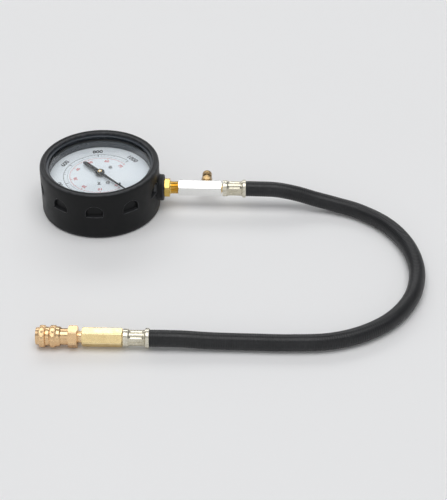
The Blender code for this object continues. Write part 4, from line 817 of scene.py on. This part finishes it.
def dial_screw(name, node, y, slot_deg):
    """A cheese-head screw with a driver slot."""
    screw = turned(
        name, Matrix.Translation((DIAL_SCREW_X, y, 0)),
        [(0, 25.5), (0.8, 25.5), (0.8, 27.7), (1.5, 27.7), (1.5, 28.1), (1.38, 28.32),
         (1.1, 28.4), (0, 28.4)],
        SCREW_NICKEL, "head", [node], "steel", segments=48, soft=0.05,
    )
    turn_by = math.radians(slot_deg)
    along = Vector((math.cos(turn_by), math.sin(turn_by))) * SLOT_HALF_LENGTH
    across = Vector((-math.sin(turn_by), math.cos(turn_by))) * SLOT_HALF_WIDTH
    middle = Vector((DIAL_SCREW_X, y))
    corners = [middle + along * a + across * b for a, b in ((-1, -1), (1, -1), (1, 1), (-1, 1))]
    slot = bmesh.new()
    flat_shape(slot, corners, SLOT_FLOOR, SLOT_TOP)
    cut(screw, slot)


dial_screw("dial_screw_slotted_1", "dial_screw_1", -DIAL_SCREW_Y, 35.0)
dial_screw("dial_screw_slotted_2", "dial_screw_2", DIAL_SCREW_Y, 112.0)

outer_print = bmesh.new()
arc_mark(outer_print, scale_angle(0.0), scale_angle(1.0), radius=28.6, width=0.3)
arc_mark(outer_print, scale_angle(0.0), scale_angle(1.0), radius=25.4, width=0.16)
for mark in range(BLACK_STEPS + 1):
    begin, width = (
        BLACK_LONG if mark % 10 == 0 else BLACK_MIDDLE if mark % 5 == 0 else BLACK_SHORT
    )
    ray_mark(outer_print, scale_angle(mark / BLACK_STEPS), begin, BLACK_MARK_END, width)
for value in range(0, BLACK_FULL + 1, 200):
    numeral(outer_print, str(value), scale_angle(value / BLACK_FULL), radius=32.8, size=5.4)
numeral(outer_print, "psi", -math.pi / 2, radius=11.5, size=3.6, top=math.pi)
made_object("dial_outer_scale", outer_print, BLACK_INK, "head", [])

inner_print = bmesh.new()
arc_mark(inner_print, scale_angle(0.0), scale_angle(RED_LAST / RED_FULL), radius=23.6, width=0.22)
for mark in range(0, RED_LAST + 1, 2):
    begin, width = RED_LONG if mark % 10 == 0 else RED_SHORT
    ray_mark(inner_print, scale_angle(mark / RED_FULL), begin, RED_MARK_END, width)
for value in range(0, RED_LAST + 1, 10):
    numeral(inner_print, str(value), scale_angle(value / RED_FULL), radius=19.4, size=3.7)
made_object("dial_inner_scale", inner_print, RED_INK, "head", [])


# Pointer

POINTER_LOW, POINTER_HIGH = 29.6, 30.2
POINTER_EDGE = 0.12
HUB_R = 3.6
NEEDLE_TIP = [(32.95, -0.35), (33.3, 0.0), (32.95, 0.35)]
TAIL_END_X, TAIL_END_R = -18.28, 1.7


def arc_points(centre_x, radius, start_deg, step_deg, count):
    """Points of an arc whose centre lies on local X."""
    angles = [math.radians(start_deg + step_deg * k) for k in range(count)]
    return [(centre_x + radius * math.cos(a), radius * math.sin(a)) for a in angles]


def pointer_outline():
    """Needle, hub circle and broad tail in one outline along local X, turned to zero."""
    points = [
        *NEEDLE_TIP,
        *arc_points(0.0, HUB_R, 18, 13.2, 11),
        *arc_points(TAIL_END_X, TAIL_END_R, 90, 15, 13),
        *arc_points(0.0, HUB_R, 210, 13.2, 11),
    ]
    cosine, sine = math.cos(math.radians(ZERO_DEG)), math.sin(math.radians(ZERO_DEG))
    return [(x * cosine - y * sine, x * sine + y * cosine) for x, y in points]


pointer_mesh = bmesh.new()
flat_shape(pointer_mesh, pointer_outline(), POINTER_LOW, POINTER_HIGH)
turn(
    pointer_mesh, UPRIGHT,
    [(2.0, 30.0), (HUB_R, 30.0), (HUB_R, 30.8), (3.2, 31.1), (2.0, 31.1)],
    segments=64, loop=True, soft=0.1,
)
pointer = made_object(
    "pointer_needle", pointer_mesh, POINTER, "pointer", ["pointer"],
)
bevel = pointer.modifiers.new("edge", "BEVEL")
bevel.width, bevel.segments, bevel.limit_method = POINTER_EDGE * MM, 2, "ANGLE"
turned(
    "pointer_hub", UPRIGHT, [(1.2, 28.5), (1.7, 28.5), (1.7, 31.3), (1.5, 31.5), (1.2, 31.5)],
    BRASS, "pointer", ["pointer_bush"], "brass", segments=48, loop=True, soft=0.06,
)


# Stem, manifold and bleed valve


def threaded(start, end, pitch, depth):
    """A shape function for a helical thread between two heights."""

    def shape(angle, radius, height):
        if not start <= height <= end:
            return radius
        phase = (height / pitch + angle / TAU) % 1.0
        ridge = abs(2 * phase - 1)
        fade = min(1.0, (height - start) / pitch, (end - height) / pitch)
        return radius - depth * (1 - ridge) * fade

    return shape


def knurled(count, depth, least_radius, ribs):
    """A shape function for fine straight knurling on ribs, each between two heights."""

    def shape(angle, radius, height):
        if radius > least_radius and any(low < height < high for low, high in ribs):
            return radius - depth * (0.5 + 0.5 * math.cos(count * angle))
        return radius

    return shape


# Each hexagon's start and end along its line, and its size across flats.
STEM_HEX = (50.3, 54.4, 14.0)
MANIFOLD_HEX = (61.1, 94.7, 12.0)
VALVE_HEX = (6.3, 9.45, 9.0)
# The turned stem takes over from the CAD socket block here.
STEM_FROM_X = 46.0
THREAD_START, THREAD_END = 54.9, 67.4
THREAD_PITCH, THREAD_DEPTH = 0.94, 0.52
THREAD_R, THREAD_ROW_STEP, THREAD_ROWS = 5.1, 0.118, 106

stem_hex = hex_in(*STEM_HEX)
stem_thread = threaded(THREAD_START, THREAD_END, THREAD_PITCH, THREAD_DEPTH)


def stem_shape(angle, radius, height):
    """The stem's spanner flats and its thread."""
    return stem_thread(angle, stem_hex(angle, radius, height), height)


thread_rows = [(THREAD_R, THREAD_START + THREAD_ROW_STEP * k) for k in range(THREAD_ROWS)]
stem_mesh = bmesh.new()
stem_mesh.from_mesh(bpy.data.objects["stem_socket"].data)
bmesh.ops.bisect_plane(
    stem_mesh, geom=[*stem_mesh.verts, *stem_mesh.edges, *stem_mesh.faces],
    plane_co=(STEM_FROM_X * MM, 0, 0), plane_no=(1, 0, 0), clear_outer=True,
)
turn(
    stem_mesh, STEM_LINE,
    [(1.5, STEM_FROM_X), (6.5, STEM_FROM_X), (6.5, 50.3), *hex_run(*STEM_HEX, chamfer=0.7),
     (THREAD_R, 54.4), *thread_rows, (THREAD_R, 67.5), (4.3, 68.0), (1.5, 68.0)],
    shape=stem_shape, loop=True, soft=0.0,
)
made_object("stem_threaded", stem_mesh, STEM_BRASS, "head", ["stem_socket"])
turned(
    "manifold_hex", STEM_LINE,
    [(5.4, 68.3), (5.4, 61.6), (5.8, 61.1), *hex_run(*MANIFOLD_HEX, chamfer=0.9), (4.9, 94.7),
     (4.5, 94.2), (4.5, 87.4), (2.0, 87.4), (2.0, 68.3)],
    NICKEL, "head", ["manifold"], "nickel",
    shape=hex_in(*MANIFOLD_HEX), segments=120, loop=True, soft=0.0,
)
turned(
    "valve_body", VALVE_LINE,
    [(0, 5.9), (4.1, 5.9), (4.1, 6.3), *hex_run(*VALVE_HEX, chamfer=0.5), (3.8, 9.45), (3.8, 9.9),
     (4.2, 10.1), (4.2, 12.1), (3.8, 12.6), (3.0, 12.6), (3.0, 8.0), (0, 8.0)],
    DARK_BRASS, "head", ["bleed_valve_body"], "brass", shape=hex_in(*VALVE_HEX), soft=0.08,
)
turned(
    "button_cap", VALVE_LINE,
    [(1.2, 14.6), (3.3, 14.6), (3.75, 15.0), (3.75, 15.5), (3.75, 15.7), (3.75, 17.0),
     (3.75, 18.5), (3.75, 18.7), (3.6, 19.3), (2.9, 19.85), (1.5, 20.0), (1.2, 19.9)],
    DARK_BRASS, "bleed_button", ["bleed_button"], "brass",
    shape=knurled(count=24, depth=0.14, least_radius=3.6, ribs=[(15.6, 18.6)]),
    segments=192, loop=True, soft=0.05,
)
bleed_spring = wire(
    "valve_spring", helix(VALVE_LINE, mean=2.1, start=8.6, end=14.05, turns=4.0), 0.25,
    ["bleed_spring"],
)
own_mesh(bleed_spring)


# Ferrules and far end

# Heights here are from the ferrule's own start. The flutes deepen over FLUTE_RUN at both ends.
FLUTES, FLUTE_DEPTH = 8, 0.62
FLUTES_START, FLUTES_END, FLUTE_RUN = 4.6, 14.1, 0.9
CRIMP_R, CRIMP_START, CRIMP_ROW_STEP, CRIMP_ROWS = 5.62, 4.9, 0.35, 26


def fluted(start):
    """A shape function for the crimp flutes between the collar and the bell."""

    def shape(angle, radius, height):
        along = height - start
        reach = ease((along - FLUTES_START) / FLUTE_RUN) * ease((FLUTES_END - along) / FLUTE_RUN)
        groove = (0.5 + 0.5 * math.cos(FLUTES * angle)) ** 3
        return radius - FLUTE_DEPTH * groove * reach

    return shape


def ferrule(name, place, start, nodes):
    """A crimped ferrule: collar, fluted crimp and bell."""
    profile = [
        (3.6, 0.0), (5.9, 0.0), (6.25, 0.35), (6.25, 3.4), (6.05, 3.8), (5.7, 4.3),
        *((CRIMP_R, CRIMP_START + CRIMP_ROW_STEP * k) for k in range(CRIMP_ROWS)),
        (CRIMP_R, 14.1), (5.85, 14.5), (5.8, 14.9), (6.1, 15.2), (6.85, 15.6), (7.0, 16.0),
        (7.0, 17.95), (6.8, 18.2), (6.3, 18.2), (6.3, 15.7), (3.6, 15.7),
    ]
    return turned(
        name, place, [(radius, start + along) for radius, along in profile],
        FERRULE, "head", nodes, "ferrule_nickel",
        shape=fluted(start), segments=144, loop=True, soft=0.0,
    )


ferrule("ferrule_gauge_end", STEM_LINE, 95.6, ["gauge_ferrule"])
far_ferrule = ferrule("ferrule_far_end", FAR_LINE, 31.8, ["far_ferrule"])
FAR_HEX = (3.35, 31.35, 12.0)
COUPLER_HEX = (-6.05, 0.35, 14.0)
far_bar = turned(
    "far_hex", FAR_LINE,
    [(0, 3.35), (4.4, 3.35), *hex_run(*FAR_HEX, chamfer=0.9), (3.2, 31.35), (3.2, 34.0), (0, 34.0)],
    PALE_BRASS, "head", ["far_hex_bar"], "brass",
    shape=hex_in(*FAR_HEX, first_corner_deg=30.0), segments=120, soft=0.0,
)
coupler = turned(
    "coupler_shell", FAR_LINE,
    [(3.6, -28.05), (4.5, -28.05), (4.9, -27.7), (4.9, -14.55), (5.5, -14.55), (5.8, -14.2),
     (5.8, -6.05), *hex_run(*COUPLER_HEX, chamfer=0.9), (4.2, 0.35), (4.2, 3.3), (1.5, 3.3),
     (1.5, -11.05), (3.6, -11.05)],
    ROSY_BRASS, "head", ["coupler_body"], "brass",
    shape=hex_in(*COUPLER_HEX, first_corner_deg=30.0), segments=120, loop=True, soft=0.0,
)
sleeve = turned(
    "sleeve_ribbed", FAR_LINE,
    [(5.7, -28.65), (5.9, -28.65), (6.05, -28.5), (6.3, -26.35), (7.2, -26.1), (7.7, -25.7),
     (7.7, -25.5), (7.7, -24.0), (7.7, -22.5), (7.7, -22.3), (7.2, -21.9), (6.75, -21.65),
     (6.6, -21.2), (6.6, -19.4), (6.75, -18.95), (7.2, -18.7), (7.7, -18.3), (7.7, -18.1),
     (7.7, -16.6), (7.7, -15.1), (7.7, -14.9), (7.2, -14.5), (7.0, -14.2), (6.9, -12.2),
     (6.5, -11.45), (6.1, -11.45), (6.1, -22.05), (5.2, -22.05), (5.2, -26.05), (5.7, -26.05)],
    ROSY_BRASS, "coupler_sleeve", ["coupler_sleeve"], "brass",
    shape=knurled(count=60, depth=0.13, least_radius=7.55, ribs=[(-25.6, -22.4), (-18.2, -15.0)]),
    segments=240, loop=True, soft=0.04,
)
sleeve_spring = wire(
    "coupler_spring", helix(FAR_LINE, mean=5.5, start=-21.4, end=-15.2, turns=5.0), 0.3,
    ["sleeve_spring"],
)
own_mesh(sleeve_spring)
# The retaining ring is an open ring of wire.
RING_R, RING_WIRE_R, RING_ALONG = 5.01, 0.36, -26.75
RING_GAP_DEG, RING_STEPS = 24, 120
ring_angles = [
    math.radians(RING_GAP_DEG / 2 + (360 - RING_GAP_DEG) * k / RING_STEPS)
    for k in range(RING_STEPS + 1)
]
ring_line = [
    FAR_LINE @ Vector((RING_R * math.cos(a), RING_R * math.sin(a), RING_ALONG))
    for a in ring_angles
]
snap_ring = wire("snap_ring", ring_line, RING_WIRE_R, ["retaining_ring"], segments=14)


# Bourdon tube, a copy of the CAD part in phosphor bronze

bent_tube = placed("bourdon_bend", bpy.data.objects["bourdon_tube"].data.copy())
bent_tube.data.materials.clear()
bent_tube.data.materials.append(BRONZE)
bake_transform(bent_tube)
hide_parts("bourdon_tube")


# Materials of the CAD parts that stay as they are

KEPT = {
    CASE: ["case_screw_1", "case_screw_2"],
    SEAL: ["lens_gasket", "relief_plug", "bleed_seal", "socket_o_ring"],
    BRASS: [
        "movement_back_plate", "movement_front_plate", "movement_pillar_1", "movement_pillar_2",
        "sector_gear", "tube_tip", "hose_nipple", "hairspring_stud", "link",
    ],
    BRONZE: ["hairspring"],
    POINTER: ["zero_stop_pin"],
    STEEL: [
        "movement_screw_1", "movement_screw_2", "sector_arbor", "pinion_arbor", "link_pin",
        "tip_screw", "bleed_stem",
        "lock_ball_1", "lock_ball_2", "lock_ball_3", "lock_ball_4",
    ],
}
for finish, names in KEPT.items():
    for name in names:
        for part_slot in bpy.data.objects[name].material_slots:
            part_slot.material = finish


# Floor, world and lamps

FLOOR_HALF = 4.0
# How high up each grey of the surroundings lies: the sine of its angle above the horizon.
SURROUNDINGS = [
    (0.0, rgb(0.78, 0.78, 0.78)), (0.16, rgb(0.68, 0.68, 0.685)), (0.28, rgb(0.4, 0.4, 0.405)),
    (0.5, rgb(0.162, 0.167, 0.178)), (0.9, rgb(0.216, 0.221, 0.232)),
]
LIT_SPOT = (0.1, -0.05, 0.0)


def floor():
    """A plain sheet of pale paper."""
    corners = [(-1, -1), (1, -1), (1, 1), (-1, 1)]
    mesh = bpy.data.meshes.new("floor")
    mesh.from_pydata([(x * FLOOR_HALF, y * FLOOR_HALF, 0) for x, y in corners], [], [(0, 1, 2, 3)])
    s = Shader("floor_paper")
    drift = s.spread(s.noise(3.0, 2.0), 0.0, 1.0)
    colour = s.blend(drift, rgb(0.87, 0.87, 0.87), rgb(0.88, 0.88, 0.88))
    mesh.materials.append(s.finish(colour, 0.85, s.bump(s.noise(900.0, 2.0), 5e-6, 0.3)))
    sheet = placed("floor", mesh)


def world():
    """Soft light from all round: a pale horizon, and darker overhead to give metal contrast."""
    made = bpy.data.worlds.new("studio")
    made.use_nodes = True
    tree = made.node_tree
    coords = tree.nodes.new("ShaderNodeTexCoord")
    split = tree.nodes.new("ShaderNodeSeparateXYZ")
    ramp = tree.nodes.new("ShaderNodeValToRGB")
    tree.links.new(coords.outputs["Generated"], split.inputs[0])
    tree.links.new(split.outputs["Z"], ramp.inputs[0])
    tree.links.new(ramp.outputs[0], tree.nodes["Background"].inputs["Color"])
    stops = ramp.color_ramp.elements
    stops[0].position, stops[0].color = SURROUNDINGS[0]
    stops[1].position, stops[1].color = SURROUNDINGS[-1]
    for position, colour in SURROUNDINGS[1:-1]:
        stops.new(position).color = colour
    bpy.context.scene.world = made


def lamp(name, place, size, power):
    """A soft rectangular lamp that faces the part."""
    data = bpy.data.lights.new(name, "AREA")
    data.shape, data.size, data.size_y, data.energy = "RECTANGLE", *size, power
    aim(placed(name, data), place, LIT_SPOT)


floor()
world()
lamp("overhead", (0.1, -0.6, 6.25), size=(6.5, 4.5), power=225.0)
lamp("front", (0.1, -5.6, 3.5), size=(9.0, 3.6), power=72.0)
lamp("back", (-0.9, 6.45, 5.0), size=(8.0, 2.5), power=150.0)
bpy.context.scene.view_settings.view_transform = "Standard"
